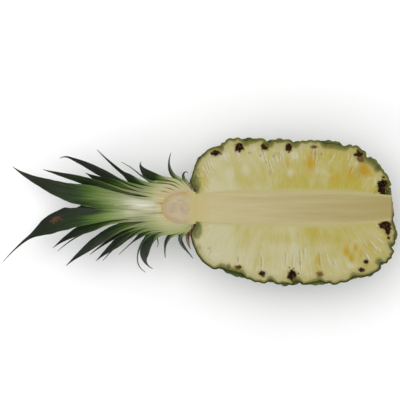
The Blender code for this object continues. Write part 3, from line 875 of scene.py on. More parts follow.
def patches(table, x, y, raggedness, full_within=0.0):
    """How strongly each point is in a patch of the table, with ragged edges."""
    total = np.zeros(x.shape)
    for along, middle, reach_x, reach_y, strength in table:
        off = np.hypot((x - along * MM) / (reach_x * MM), (y - middle * MM) / (reach_y * MM))
        faded = smooth_step(off * np.sqrt(raggedness), full_within, PATCH_FADES_AT)
        total = np.maximum(total, strength * (1 - faded))
    return total


def depth_under_skin(skin_run, x, y):
    """How far each point lies from the skin's line."""
    dense = spaced(skin_run, 4 * FLESH_COLUMNS)
    tree = KDTree(len(dense))
    for i, point in enumerate(dense):
        tree.insert((point[0], point[1], 0), i)
    tree.balance()
    return np.array([tree.find((a, b, 0))[2] for a, b in zip(x.ravel(), y.ravel())]).reshape(x.shape)


def opened_pits(x, y, raggedness):
    """How strongly each point is in a pit, and how far down the pit's floor is there."""
    pit, floor = np.zeros(x.shape), np.zeros(x.shape)
    for along, middle, reach_x, reach_y, strength in PITS:
        off = np.hypot((x - along * MM) / (reach_x * MM), (y - middle * MM) / (reach_y * MM))
        here = strength * (1 - smooth_step(off * raggedness, *PIT_EDGE))
        pit = np.maximum(pit, here)
        floor = np.maximum(floor, here * min(reach_x, reach_y) * MM * PIT_DEPTH_SHARE)
    return pit, floor


def opened_slits(skin, share, rng):
    """How strongly each point is in a slit, and in the whitish flesh on one side of it."""
    slit, airy = np.zeros((2, FLESH_COLUMNS, FLESH_ROWS))
    column = np.arange(FLESH_COLUMNS)[:, None]
    spacing = np.hypot(*np.gradient(skin[:, :2], axis=0).T)[:, None]
    for middle, start, end, strength in seed_slits(skin[:, 2], rng):
        wander = SLIT_WANDER * np.sin(share * SLIT_BENDS + middle)
        spread = spacing * (CORE_SPACING + (1 - CORE_SPACING) * share)
        aside = (column - middle - wander) * spread / SLIT_HALF_WIDTH
        lengthwise = smooth_step(share, start, start + SLIT_END)
        lengthwise = lengthwise * (1 - smooth_step(share, end - SLIT_END, end))
        in_slit = 1 - smooth_step(np.abs(aside), *SLIT_EDGE)
        in_airy = 1 - smooth_step(np.abs(aside - AIRY_ASIDE), *AIRY_EDGE)
        slit = np.maximum(slit, in_slit * lengthwise * strength)
        airy = np.maximum(airy, in_airy * lengthwise)
    return slit, airy


def flesh_half(side, skin_run, rng):
    """One side's cut face as a grid from core to skin, with what its relief and colours need."""
    skin = spaced(skin_run, FLESH_COLUMNS)
    core = spaced(core_edge(side), FLESH_COLUMNS)
    even = np.linspace(0, 1, FLESH_ROWS)[None, :]
    share = even * (1 + FINER_AT_SKIN * (1 - even))
    x = core[:, :1] + (skin[:, :1] - core[:, :1]) * share
    y = core[:, 1:2] + (skin[:, 1:2] - core[:, 1:2]) * share
    depth = depth_under_skin(skin_run, x, y)
    across = np.broadcast_to(np.linspace(0, 1, FLESH_COLUMNS)[:, None], x.shape) * CUT_RUN_MM * MM
    length = np.hypot(skin[:, 0] - core[:, 0], skin[:, 1] - core[:, 1])[:, None] * share
    relief = 0.0
    for height, width, run, level, seed in FLESH_RELIEFS:
        strands = (across.ravel() / width, length.ravel() / run, np.full(x.size, level))
        relief = relief + roughened(np.column_stack(strands), 1, seed + side).reshape(x.shape) * height
    flat_places = np.column_stack([x.ravel(), y.ravel(), 0 * x.ravel()])
    raggedness = 1 + PIT_RAGGEDNESS * roughened(flat_places, PIT_LOBES, seed=5).reshape(x.shape)
    unevenness = roughened(flat_places, PATCH_LOBES, seed=6, octaves=3).reshape(x.shape)
    unevenness = np.maximum(1 + PATCH_RAGGEDNESS * unevenness, 0.1)
    pit, floor = opened_pits(x, y, raggedness)
    slit, airy = opened_slits(skin, share, rng)
    loosened = smooth_step(share, 0.0, HELD_BY_CORE) * (1 - pit) * smooth_step(depth, 0, HELD_BY_SKIN)
    z = CUT_HEIGHT - FLESH_RECESS - floor - slit * SLIT_DEPTH + (relief - SHRINKAGE) * loosened
    bruised = patches(BRUISES, x, y, raggedness)
    values = {
        "depth": depth / MM,
        "eye": np.broadcast_to(skin[:, 2:3], x.shape),
        "outward": np.broadcast_to(share, x.shape),
        "pit": pit,
        "slit": slit,
        "airy": airy,
        "ripe": patches(RIPE_PATCHES, x, y, unevenness),
        "yellow": patches(YELLOW_PATCHES, x, y, unevenness),
        "pale": patches(PALE_PATCHES, x, y, unevenness),
        "bruised": np.maximum(bruised, patches(PIT_HALOS, x, y, raggedness, full_within=0.5)),
        "mossy": patches(MOSSY_LOBES, x, y, raggedness, full_within=0.35),
    }
    return np.stack([x, y, z], axis=-1), values, across, length


def fitted(points):
    """Points moved in or out from the fruit's axis, to lie just inside the rind's inner wall."""
    fits = []
    for point in points.reshape(-1, 3):
        along = min(max(point[0], -AXIS_ENDS), AXIS_ENDS)
        start = Vector((along, fruit_axis_y(along), CUT_HEIGHT))
        arm = Vector(point) - start
        distance = rind_walls.ray_cast(start, arm)[3]
        loosened = smooth_step(CUT_HEIGHT - point[2], *LOOSE_UNDER_CUT)
        clearance = FITS_CLOSE + (FITS_LOOSE - FITS_CLOSE) * loosened
        fits.append(start + arm.normalized() * (distance - clearance))
    return np.array(fits).reshape(points.shape)


def close_up(bm):
    """Joins rows that meet, closes the open ends, and turns every face outwards."""
    bmesh.ops.remove_doubles(bm, verts=bm.verts, dist=1e-6)
    bmesh.ops.holes_fill(bm, edges=[edge for edge in bm.edges if len(edge.link_faces) == 1], sides=0)
    bmesh.ops.triangulate(bm, faces=[face for face in bm.faces if len(face.verts) > 4])
    bmesh.ops.recalc_face_normals(bm, faces=bm.faces)


def quads_of(index):
    """The four corners of each cell in a grid of point numbers."""
    cells = (index[:-1, :-1], index[1:, :-1], index[1:, 1:], index[:-1, 1:])
    return np.stack(cells, axis=-1).reshape(-1, 4)


def arch(start, end, rows):
    """Half-round rows under the cut face from one line to the other."""
    lip = np.radians(LIP_ROWS)
    turn = np.concatenate([lip, np.linspace(lip[-1], -lip[-1], rows)[1:-1], -lip[::-1]])
    part = ((1 - np.sin(turn)) / 2)[None, :, None]
    level = start[:, None] * (1 - part) + end[:, None] * part
    level[..., 2] -= (np.abs(start[:, 1] - end[:, 1]) / 2)[:, None] * np.cos(turn)[None, :]
    return level


def make_flesh():
    """Both cut faces, the trough under the core, and the underside that lies in the rind."""
    rng = np.random.default_rng(SLIT_SEED)
    blocks = [flesh_half(1, upper_skin, rng), flesh_half(-1, lower_skin, rng)]
    upper, lower = blocks[0][0], blocks[1][0]
    trough = arch(upper[:, 0], lower[:, 0], TROUGH_ROWS)
    underside = arch(upper[:, -1], lower[:, -1], UNDERSIDE_ROWS)
    underside[:, 1:-1] = fitted(underside[:, 1:-1])
    for grid, depth in ((trough, TROUGH_DEPTH_MM), (underside, 0)):
        flat = np.zeros(grid.shape[:2])
        values = {name: flat + depth if name == "depth" else flat for name in blocks[0][1]}
        blocks.append((grid, values, flat, flat))
    faces, layers, first = [], {}, 0
    for number, (grid, values, across, length) in enumerate(blocks):
        index = np.arange(grid.shape[0] * grid.shape[1]).reshape(grid.shape[:2]) + first
        first += index.size
        faces += [tuple(quad) for quad in quads_of(index).tolist()]
        fibre_map = {"fibre_across": across + number * MAP_STEP, "fibre_along": length}
        for name, value in {**values, **fibre_map}.items():
            layers.setdefault(name, []).append(np.ravel(value))
    points = np.vstack([grid.reshape(-1, 3) for grid, *_ in blocks])
    bm = mesh_of(points, faces, **{name: np.concatenate(parts) for name, parts in layers.items()})
    close_up(bm)
    return bm


flesh_mesh = make_flesh()

# Where flesh and core meet they are one colour, so that no line shows between them
BESIDE_CORE = "aaa06c"

# Wet cut parenchyma: pale yellow, a little translucent, streaked by its fibres. It is creamy where
# the fruitlets meet, deeper yellow where riper, and green in the few millimetres under the skin
STRAND, STRAND_RUN, WEDGE, WEDGE_RUN = 1.1 * MM, 12 * MM, 6 * MM, 34 * MM
CLOUD, GRAIN, FLECK, FLECK_RUN = 22 * MM, 1.6 * MM, 2.8 * MM, 8 * MM
UNDER_EYE, GROOVE_TUFT = 0.6, 1.9
cut_flesh, tree, shader = new_material(
    "cut_pineapple_flesh",
    Specular_IOR_Level=0.22,
    Subsurface_Weight=0.2,
    Subsurface_Scale=2.5 * MM,
    Subsurface_Radius=(1.0, 0.8, 0.35),
)
titles = ("depth", "eye", "outward", "pit", "slit", "ripe", "yellow", "pale", "bruised", "mossy")
drawn = {
    title: add_node(tree, "ShaderNodeAttribute", attribute_name=title).outputs["Fac"]
    for title in (*titles, "airy", "fibre_across", "fibre_along")
}
place = add_node(tree, "ShaderNodeTexCoord").outputs["Object"]
clouds, grain = (
    add_node(tree, "ShaderNodeTexNoise", {"Vector": place, "Scale": 1 / size, "Detail": detail})
    for size, detail in ((CLOUD, 2.0), (GRAIN, 3.0))
)
run = add_node(tree, "ShaderNodeCombineXYZ", {"X": drawn["fibre_across"], "Y": drawn["fibre_along"]})
fibrous = []
for width, length, detail, bent in (
    (STRAND, STRAND_RUN, 3.0, 0.5),
    (WEDGE, WEDGE_RUN, 2.0, 0.0),
    (FLECK, FLECK_RUN, 2.0, 0.0),
):
    stretched = {0: run, 1: (1 / width, 1 / length, 0)}
    stretched = add_node(tree, "ShaderNodeVectorMath", stretched, operation="MULTIPLY")
    stretched = {"Vector": stretched, "Scale": 1.0, "Detail": detail, "Distortion": bent}
    fibrous.append(add_node(tree, "ShaderNodeTexNoise", stretched))
strands, wedges, flecks = fibrous

# The ground is creamier towards the crown, yellower towards the base and in every other wedge
slanted = add_node(tree, "ShaderNodeVectorMath", {0: place, 1: (0.9, 0.45, 0)}, operation="DOT_PRODUCT")
slanted = {"Value": slanted.outputs["Value"], "From Min": -80 * MM, "From Max": 70 * MM}
toward_base = add_node(tree, "ShaderNodeMapRange", slanted)
yellowed = clouds
for value, weight in ((toward_base, 0.55), (drawn["yellow"], 0.7), (drawn["pale"], -0.8), (wedges, 0.55)):
    yellowed = add_node(tree, "ShaderNodeMath", {0: value, 1: weight, 2: yellowed}, operation="MULTIPLY_ADD")
lobed = add_node(tree, "ShaderNodeMath", {0: grain, 1: 0.5, 2: drawn["mossy"]}, operation="MULTIPLY_ADD")

# What drives each layer, where the layer starts and is full, and how strong it is there
eased = {
    "yellowed": (yellowed, 0.6, 1.6, 1.0),
    "stranded": (strands, 0.36, 0.66, 0.24),
    "flecked": (flecks, 0.5, 0.74, 0.6),
    "near_skin": (drawn["depth"], 7.0, 1.5, 0.6),
    "beside_core": (drawn["outward"], 0.09, 0.0, 0.9),
    "rusted": (drawn["pit"], 0.02, 0.5, 0.9),
    "darkened": (drawn["pit"], 0.35, 0.8, 1.0),
    "tufted": (drawn["eye"], 0.72, 1.0, GROOVE_TUFT),
    "lobed": (lobed, 0.3, 1.1, 0.95),
    "lobe_edge": (drawn["depth"], 4.5, 1.5, 1.0),
}
for title, (value, start, full, most) in eased.items():
    eased[title] = {"Value": value, "From Min": start, "From Max": full, "To Max": most}
    eased[title] = add_node(tree, "ShaderNodeMapRange", eased[title], interpolation_type="SMOOTHSTEP")

# The pale row of flecks over the seed chambers, the riper patches, and the bruises
band_start, band_end = (
    add_node(tree, "ShaderNodeMapRange", {"Value": drawn["depth"], "From Min": low, "From Max": high})
    for low, high in ((2.0, 9.0), (20.0, 12.0))
)
band = add_node(tree, "ShaderNodeMath", {0: band_start, 1: band_end}, operation="MULTIPLY")
flecked = add_node(tree, "ShaderNodeMath", {0: eased["flecked"], 1: band}, operation="MULTIPLY")
flecked = add_node(tree, "ShaderNodeMath", {0: drawn["airy"], 1: 0.65, 2: flecked}, operation="MULTIPLY_ADD")
ripe_strands = {"Value": strands, "From Min": 0.3, "From Max": 0.6, "To Min": 0.6, "To Max": 1.3}
ripe_strands = add_node(tree, "ShaderNodeMapRange", ripe_strands)
ripe = add_node(tree, "ShaderNodeMath", {0: drawn["ripe"], 1: ripe_strands}, operation="MULTIPLY")
bruise = add_node(tree, "ShaderNodeMath", {0: drawn["bruised"], 1: grain}, operation="MULTIPLY")
torn = add_node(tree, "ShaderNodeMapRange", {"Value": grain, "From Min": 0.45, "From Max": 0.68})

# Green under the skin, in millimetres: a thin olive line under each eye, dark tufts at the grooves
# except at the crown end, and yellow-green lobes where the skin curls in
past_crown_end = add_node(tree, "ShaderNodeSeparateXYZ", {"Vector": place}).outputs["X"]
past_crown_end = {"Value": past_crown_end, "From Min": -80 * MM, "From Max": -62 * MM}
past_crown_end = add_node(tree, "ShaderNodeMapRange", past_crown_end)
tufted = add_node(tree, "ShaderNodeMath", {0: eased["tufted"], 1: past_crown_end}, operation="MULTIPLY")
tuft_end = add_node(tree, "ShaderNodeMath", {0: grain, 1: 1.6, 2: tufted}, operation="MULTIPLY_ADD")
tuft_end = add_node(tree, "ShaderNodeMath", {0: tuft_end, 1: UNDER_EYE}, operation="ADD")
green_reach = add_node(tree, "ShaderNodeMath", {0: drawn["depth"], 1: tuft_end}, operation="DIVIDE")
fresh = {"Value": green_reach, "From Min": 1.35, "From Max": 0.5}
fresh = add_node(tree, "ShaderNodeMapRange", fresh, interpolation_type="SMOOTHSTEP")
unlobed = add_node(tree, "ShaderNodeMath", {0: 1.0, 1: eased["lobed"]}, operation="SUBTRACT")
fresh = add_node(tree, "ShaderNodeMath", {0: fresh, 1: unlobed}, operation="MULTIPLY")
moss_reach = add_node(tree, "ShaderNodeMath", {0: tufted, 1: 0.3}, operation="SUBTRACT")
mossed = add_node(tree, "ShaderNodeMath", {0: drawn["depth"], 1: moss_reach}, operation="SUBTRACT")
mossed = {"Value": mossed, "From Min": 0.2, "From Max": -2.0}
mossed = add_node(tree, "ShaderNodeMapRange", mossed, interpolation_type="SMOOTHSTEP")

# Layer on layer: creamy strands and flecks, ripe yellow, the pale flesh by skin and core, olive
# slits, grey-brown bruises, dark pits with a rusty edge, and the greens last
ground, pit_brown, lobes = (
    add_node(tree, "ShaderNodeMix", {"Factor": factor, "A": linear(a), "B": linear(b)}, data_type="RGBA")
    for factor, a, b in (
        (eased["yellowed"], "b2ac86", "a09228"),
        (torn, "0a0300", "543012"),
        (eased["lobe_edge"], "6c6f26", "4a4a14"),
    )
)
for factor, over in (
    (eased["stranded"], linear("b5ae87")),
    (flecked, linear("bbb6a2")),
    (ripe, linear("a78700")),
    (eased["near_skin"], linear("959062")),
    (eased["beside_core"], linear(BESIDE_CORE)),
    (drawn["slit"], linear("8a7436")),
    (bruise, linear("4e3a1e")),
    (eased["rusted"], linear("5f3c12")),
    (eased["darkened"], pit_brown),
    (eased["lobed"], lobes),
    (fresh, linear("746d2b")),
    (mossed, linear("363d08")),
):
    ground = {"Factor": factor, "A": ground, "B": over}
    ground = add_node(tree, "ShaderNodeMix", ground, data_type="RGBA")

# Juice makes the strands shine, and the pits are dry
wetness = {"Value": strands, "From Min": 0.3, "From Max": 0.7, "To Min": 0.34, "To Max": 0.52}
wetness = add_node(tree, "ShaderNodeMapRange", wetness)
dry_pits = add_node(tree, "ShaderNodeMath", {0: drawn["pit"], 1: 0.5, 2: wetness}, operation="MULTIPLY_ADD")
rough = add_node(tree, "ShaderNodeMath", {0: strands, 1: 0.6, 2: grain}, operation="MULTIPLY_ADD")
rough = add_node(tree, "ShaderNodeBump", {"Strength": 0.6, "Distance": 0.2 * MM, "Height": rough})
feed(tree, shader, {"Base Color": ground, "Roughness": dry_pits, "Normal": rough})

flesh = add_piece("flesh", flesh_mesh, cut_flesh)
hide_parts("fruit")
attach(flesh, "root")

# ---------------------------------------------------------------------------------------------
# The core: the fruit's tough stalk, halved by the same cut. Its fibres run lengthwise, its round
# underside lies in the flesh, and its far end is the scar where the fruit was cut off its plant.

CORE_BULGE, CAP_RINGS, CAP_LUMPS = 1.2 * MM, 8, (0.35 * MM, 2.5 * MM)
CORE_STRIPS, ARCH_ROWS = 64, 24
CORE_STRAND, CORE_STRAND_RUN, CORE_RELIEF = 1.4 * MM, 40 * MM, 0.1 * MM
CORE_SWELL, CORE_SWELL_SIZE = 0.12 * MM, 14 * MM
CORE_STEP, CORE_STARTS_BACK = 0.7 * MM, 0.2 * MM


def half_round(along, radius, relief):
    """The upper face and the round underside of a halved stalk: a grid whose rows go round it."""
    strips = np.linspace(-1, 1, CORE_STRIPS + 1)
    turn = np.linspace(math.pi / 2, -math.pi / 2, ARCH_ROWS + 1)[1:-1]
    across = np.concatenate([strips, np.sin(turn)])
    drop = np.concatenate([np.zeros(len(strips)), np.cos(turn)])
    x = np.broadcast_to(along[:, None], (len(along), len(across))).copy()
    y = AXIS_Y + radius[:, None] * across[None, :]
    z = CUT_HEIGHT - radius[:, None] * drop[None, :]
    grid = np.stack([x, y, z], axis=-1)
    flat = drop == 0
    grid[:, flat, 2] += relief(grid[:, flat].reshape(-1, 3)).reshape(len(along), -1)
    return grid


def closed_tube(grid):
    """Points and faces of a tube of rows that each close on themselves, open at both ends."""
    index = np.arange(grid.shape[0] * grid.shape[1]).reshape(grid.shape[:2])
    quads = quads_of(np.hstack([index, index[:, :1]]))
    return grid.reshape(-1, 3), [tuple(quad) for quad in quads.tolist()]


def end_cap(ring, bulge):
    """Rings from an end's border in to its middle, pushed out along X and a little uneven."""
    middle = ring.mean(axis=0)
    lump_height, lump_size = CAP_LUMPS
    rings = []
    for share in np.linspace(1, 0, CAP_RINGS + 1)[1:]:
        level = middle + (ring - middle) * share
        lumps = lump_height * roughened(level, lump_size, seed=41)
        level[:, 0] += bulge * (1 - share**2) + lumps * (1 - share**4)
        rings.append(level)
    return rings


def core_relief(points):
    """Fine ridges along the fibres, and a gentle swell."""
    streaks = points / (CORE_STRAND_RUN, CORE_STRAND, 1) * (1, 1, 0)
    swell = CORE_SWELL * roughened(points, CORE_SWELL_SIZE, seed=44, octaves=1)
    return CORE_RELIEF * roughened(streaks, 1, seed=43) + swell


core_along, core_radius = np.array(CORE).T * MM
dense_along = np.arange(core_along[0] - CORE_STARTS_BACK, core_along[-1], CORE_STEP)
dense_radius = np.interp(dense_along, core_along, core_radius)
core_grid = half_round(dense_along, dense_radius, core_relief)
core_grid = np.concatenate([core_grid, end_cap(core_grid[-1], CORE_BULGE)])
core_rows = np.concatenate([dense_radius, np.full(CAP_RINGS, core_radius[-1])])
core_edge_share = np.clip(np.abs(core_grid[..., 1] - AXIS_Y) / core_rows[:, None], 0, 1)
core_mesh = mesh_of(*closed_tube(core_grid), edge=core_edge_share.ravel())
close_up(core_mesh)

# Woody cut fibre: tougher and duller than the flesh, buff with fine tan streaks along its length,
# drier and browner towards the cut stalk, and the flesh's own colour where it meets the flesh
CORE_FIBRE, CORE_FIBRE_RUN, CORE_BAND, CORE_BAND_RUN = 1.0 * MM, 28 * MM, 5 * MM, 90 * MM
CORE_START = "aea068"
core_fibre, tree, shader = new_material(
    "cut_core_fibre",
    Specular_IOR_Level=0.4,
    Subsurface_Weight=0.12,
    Subsurface_Scale=1.5 * MM,
    Subsurface_Radius=(1.0, 0.8, 0.4),
)
place = add_node(tree, "ShaderNodeTexCoord").outputs["Object"]
along = add_node(tree, "ShaderNodeSeparateXYZ", {"Vector": place}).outputs["X"]
edge_share = add_node(tree, "ShaderNodeAttribute", attribute_name="edge").outputs["Fac"]
fibrous = []
for width, length, detail in ((CORE_FIBRE, CORE_FIBRE_RUN, 3.0), (CORE_BAND, CORE_BAND_RUN, 2.0)):
    stretched = {0: place, 1: (1 / length, 1 / width, 1 / width)}
    stretched = add_node(tree, "ShaderNodeVectorMath", stretched, operation="MULTIPLY")
    stretched = {"Vector": stretched, "Scale": 1.0, "Detail": detail}
    fibrous.append(add_node(tree, "ShaderNodeTexNoise", stretched))
fibres, bands = fibrous
grain = add_node(tree, "ShaderNodeTexNoise", {"Vector": place, "Scale": 1 / GRAIN, "Detail": 3.0})
toward_stalk = {"Value": along, "From Min": -70 * MM, "From Max": 85 * MM}
toward_stalk = add_node(tree, "ShaderNodeMapRange", toward_stalk)
aged = add_node(tree, "ShaderNodeMath", {0: bands, 1: 0.7, 2: toward_stalk}, operation="MULTIPLY_ADD")
aged = add_node(tree, "ShaderNodeMapRange", {"Value": aged, "From Min": 0.15, "From Max": 1.4})
scar = {"Value": along, "From Min": 84.4 * MM, "From Max": 85.4 * MM, "To Max": 0.75}
scar = add_node(tree, "ShaderNodeMapRange", scar)
scar = add_node(tree, "ShaderNodeMath", {0: scar, 1: grain}, operation="MULTIPLY")

# What drives each layer, where the layer starts and is full, and how strong it is there
eased = {
    "streaked": (fibres, 0.4, 0.66, 0.2),
    "at_edge": (edge_share, 0.72, 1.0, 0.9),
    "at_start": (along, -66 * MM, -82 * MM, 1.0),
}
for title, (value, start, full, most) in eased.items():
    eased[title] = {"Value": value, "From Min": start, "From Max": full, "To Max": most}
    eased[title] = add_node(tree, "ShaderNodeMapRange", eased[title], interpolation_type="SMOOTHSTEP")
ground = {"Factor": aged, "A": linear("b5aa80"), "B": linear("96874a")}
ground = add_node(tree, "ShaderNodeMix", ground, data_type="RGBA")
for factor, colour in (
    (eased["streaked"], "97855d"),
    (eased["at_edge"], BESIDE_CORE),
    (scar, "7a5a34"),
    (eased["at_start"], CORE_START),
):
    ground = {"Factor": factor, "A": ground, "B": linear(colour)}
    ground = add_node(tree, "ShaderNodeMix", ground, data_type="RGBA")
dulled = {"Value": fibres, "From Min": 0.3, "From Max": 0.7, "To Min": 0.45, "To Max": 0.62}
dulled = add_node(tree, "ShaderNodeMapRange", dulled)
rough = add_node(tree, "ShaderNodeMath", {0: fibres, 1: 0.8, 2: grain}, operation="MULTIPLY_ADD")
rough = add_node(tree, "ShaderNodeBump", {"Strength": 0.5, "Distance": 0.15 * MM, "Height": rough})
feed(tree, shader, {"Base Color": ground, "Roughness": dulled, "Normal": rough})

core = add_piece("halved_core", core_mesh, core_fibre)
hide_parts("core")
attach(core, "root")

# ---------------------------------------------------------------------------------------------
# The crown's stem: the short solid stump that the leaves grow from. It joins the core without a
# line, and ends among the youngest leaves in a round dome.

STEM_FOOT = -83.7 * MM
STEM_RADIUS = 13.8 * MM
STEM_SHOULDER = 12 * MM
STEM_LENGTH = 29 * MM
STEM_RELIEF, STEM_LUMPS, STEM_STANDS_OUT = 0.3 * MM, 3.5 * MM, 0.8
STEM_STEP, STEM_STARTS_BACK, DOME_ROWS = 0.7 * MM, 0.3 * MM, 36


def stem_radius(height):
    """The crown's stem is a cylinder up to its shoulder, and then a round dome."""
    over = np.clip((height - STEM_SHOULDER) / (STEM_LENGTH - STEM_SHOULDER), 0.0, 1.0)
    return STEM_RADIUS * np.sqrt(1 - over**2)


def stem_relief(points):
    """Lumps, a little over the cut face, so that the pith covers the leaves' ends."""
    inward = 1 - np.clip(np.abs(points[:, 1] - AXIS_Y) / STEM_RADIUS, 0, 1) ** 4
    lumps = roughened(points, STEM_LUMPS, seed=51, octaves=3)
    return STEM_RELIEF * (lumps + STEM_STANDS_OUT) * inward


straight = np.arange(-STEM_STARTS_BACK, STEM_SHOULDER, STEM_STEP)
dome = np.sin(np.linspace(0, math.pi / 2, DOME_ROWS))
dome = STEM_SHOULDER + (STEM_LENGTH - STEM_SHOULDER) * dome
stem_heights = np.concatenate([straight, dome])
stem_grid = half_round(STEM_FOOT - stem_heights, stem_radius(stem_heights), stem_relief)
stem_mesh = mesh_of(*closed_tube(stem_grid))
close_up(stem_mesh)

# Starchy pith: mottled tan and buff with a duller, drier surface than the core's, and a patchy
# orange tan rim where the leaf traces leave it
LUMP, PITH_GRAIN = 6 * MM, 1.2 * MM
stem_pith, tree, shader = new_material(
    "cut_crown_pith",
    Roughness=0.58,
    Specular_IOR_Level=0.35,
    Subsurface_Weight=0.1,
    Subsurface_Scale=1.5 * MM,
    Subsurface_Radius=(1.0, 0.7, 0.45),
)
place = add_node(tree, "ShaderNodeTexCoord").outputs["Object"]
lumps, grain = (
    add_node(tree, "ShaderNodeTexNoise", {"Vector": place, **look, "Detail": 3.0})
    for look in ({"Scale": 1 / LUMP, "Distortion": 1.0}, {"Scale": 1 / PITH_GRAIN})
)
shoulder = {0: place, 1: (STEM_FOOT - STEM_SHOULDER, AXIS_Y, CUT_HEIGHT)}
shoulder = add_node(tree, "ShaderNodeVectorMath", shoulder, operation="SUBTRACT")
squashed = {0: shoulder, 1: (STEM_RADIUS / (STEM_LENGTH - STEM_SHOULDER), 1, 1)}
squashed = add_node(tree, "ShaderNodeVectorMath", squashed, operation="MULTIPLY")
from_middle = add_node(tree, "ShaderNodeVectorMath", {0: squashed}, operation="LENGTH").outputs["Value"]
ragged = add_node(tree, "ShaderNodeMath", {0: lumps, 1: 4 * MM, 2: from_middle}, operation="MULTIPLY_ADD")
past_foot, past_shoulder = (
    add_node(tree, "ShaderNodeSeparateXYZ", {"Vector": start}).outputs["X"]
    for start in (place, shoulder)
)

# What drives each layer, and where the layer starts and is full
eased = {
    "mottled": (lumps, 0.35, 0.65),
    "rimmed": (ragged, STEM_RADIUS - 2.6 * MM, STEM_RADIUS + 1.5 * MM),
    "in_dome": (past_shoulder, 12 * MM, 2 * MM),
    "at_foot": (past_foot, STEM_FOOT - 9 * MM, STEM_FOOT - 1 * MM),
}
for title, (value, start, full) in eased.items():
    eased[title] = {"Value": value, "From Min": start, "From Max": full}
    eased[title] = add_node(tree, "ShaderNodeMapRange", eased[title], interpolation_type="SMOOTHSTEP")
speckled = {"Value": grain, "From Min": 0.5, "From Max": 0.75, "To Max": 0.5}
speckled = add_node(tree, "ShaderNodeMapRange", speckled)
patchy = {"Value": lumps, "From Min": 0.42, "From Max": 0.6, "To Min": 0.25, "To Max": 0.85}
rimmed = add_node(tree, "ShaderNodeMapRange", patchy)
for share in (eased["rimmed"], eased["in_dome"]):
    rimmed = add_node(tree, "ShaderNodeMath", {0: rimmed, 1: share}, operation="MULTIPLY")
ground = {"Factor": eased["mottled"], "A": linear("a39377"), "B": linear("afa282")}
ground = add_node(tree, "ShaderNodeMix", ground, data_type="RGBA")
for factor, colour in ((speckled, "97784a"), (rimmed, "a48744"), (eased["at_foot"], CORE_START)):
    ground = {"Factor": factor, "A": ground, "B": linear(colour)}
    ground = add_node(tree, "ShaderNodeMix", ground, data_type="RGBA")
rough = add_node(tree, "ShaderNodeBump", {"Strength": 0.5, "Distance": 0.2 * MM, "Height": grain})
feed(tree, shader, {"Base Color": ground, "Normal": rough})

stem = add_piece("crown_pith", stem_mesh, stem_pith)
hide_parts("crown_stem")
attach(stem, "root")

# ---------------------------------------------------------------------------------------------
# The leaves: stiff channelled straps in layers on the stem, thick and white where they are packed,
# green and leathery where they are free, and longest in the middle. The knife cut the side columns'
# bases, so their layers show. Strips torn off the margins and dried scales are made the same way.

PACK_RADIUS = 29.0 * MM
PACK_DEPTH = 25 * MM
PACK_RISE = 7.6 * MM
PACK_FOOT = 1.8 * MM
PACK_TOP = 32 * MM
UPPER_SWELL, PACK_SWELLS_OVER = 3.5 * MM, (2 * MM, 14 * MM)
FIRST_LEAF_TOP = 9 * MM
TOP_REACHED = 0.35
LEAF_CLEARANCE = -1.1 * MM

BASE_THICKNESS, BLADE_THICKNESS, TIP_THICKNESS = 3.2 * MM, 1.1 * MM, 0.5 * MM
MARGIN_THICKNESS, MARGIN_ROUNDNESS = 0.28 * MM, 2.2
THINS_OVER, TIP_THINS_OVER = 36 * MM, (0.55, 1.0)
FOOT_SHARE, FOOT_LENGTH, THICKEST_SHARE = 0.8, 4 * MM, 0.9
BASE_WIDTH, NARROWER_BASES = 0.85, {"leaf_lower_09": 0.82}
BLADE_CURL = 17 * MM
CURL_OPENS = (0.15, 0.5)
TURNS_OVER = (0.2, 1.0)
YOUNGEST_TURNS_OVER = (0.05, 0.6)
YOUNGEST_ROLLS = {"leaf_upper_09": -14, "leaf_lower_09": 30}
YOUNGEST_ROLLS_OVER, YOUNGEST_UNROLLS_OVER = (0.08, 0.3), (0.6, 0.95)
ROLLS_OVER = (0.3, 0.75)
TIP_HALF_WIDTH = 0.18 * MM
TAPER_POWER, TAPER_FULLNESS = 2.0, 1.25
BASE_HANDLE, TIP_HANDLE, TIP_HANDLES = 0.35, 0.42, {"leaf_lower_09": 0.53}
LEAF_ROWS, LEAF_COLUMNS, CLOSER_AT_TIP = 84, 19, 0.92
LOOSENS_OVER = 20 * MM
MARGIN_WANDER, MARGIN_WANDER_SIZE = 0.07, 7 * MM
WAVE_HEIGHT, WAVE_SIZE, WAVES_FROM_HALF_WIDTH = 0.55 * MM, 16 * MM, 6 * MM
CUT_UNEVENNESS = 0.3 * MM

# Where the white of the base turns green, past the pack: the outermost leaf's and the innermost's
GREEN_STARTS = (-7 * MM, 14 * MM)
GREEN_FULL = (6 * MM, 107 * MM)
DARKENED, DARKENS_OVER = 0.35, 26 * MM

# Painted shade: the blade that lies under the other young one's margin is painted darker towards it
SHADED = {"leaf_lower_09": 0.34}
SHADE_STARTS, SHADE_SIDE = (24 * MM, 60 * MM), (0.0, 0.65)

# The leaves of three columns, outermost first. Each: azimuth at the tip, how far the tip is up
# the crown and out from its axis in mm, which way it points (0 is up the crown and 90 is outwards),
# width in mm, and how far the blade rolls over on its own midline, in degrees
SIDE_COLUMN = 76
UPPER_LEAVES = (
    (80, 8, 33, 200, 9, -20),
    (76, 21, 49, 112, 13, -10),
    (60, 49, 46, 75, 24, -38),
    (70, 64, 42, 25, 13, -10),
    (66, 85, 55, 48, 23, -40),
    (66, 117, 51, 22, 20, -25),
    (60, 95, 35, 35, 26, -42),
    (56, 132, 40, 20, 18, -25),
    (36, 160.5, 59.5, 43, 29.5, 0),
)
LOWER_LEAVES = (
    (-66, 2, 48, 122, 14, 25),
    (-70, 26, 46, 95, 13, 10),
    (-58, 36, 61, 170, 25, 45),
    (-66, 66, 44, 45, 15, 10),
    (-60, 86, 53, 48, 23, 28),
    (-74, 91, 42, 40, 15, 15),
    (-60, 112, 58, 48, 25, 25),
    (-60, 123, 40, 46, 24, 30),
    (-48, 167, 63, 57, 33, 0),
)
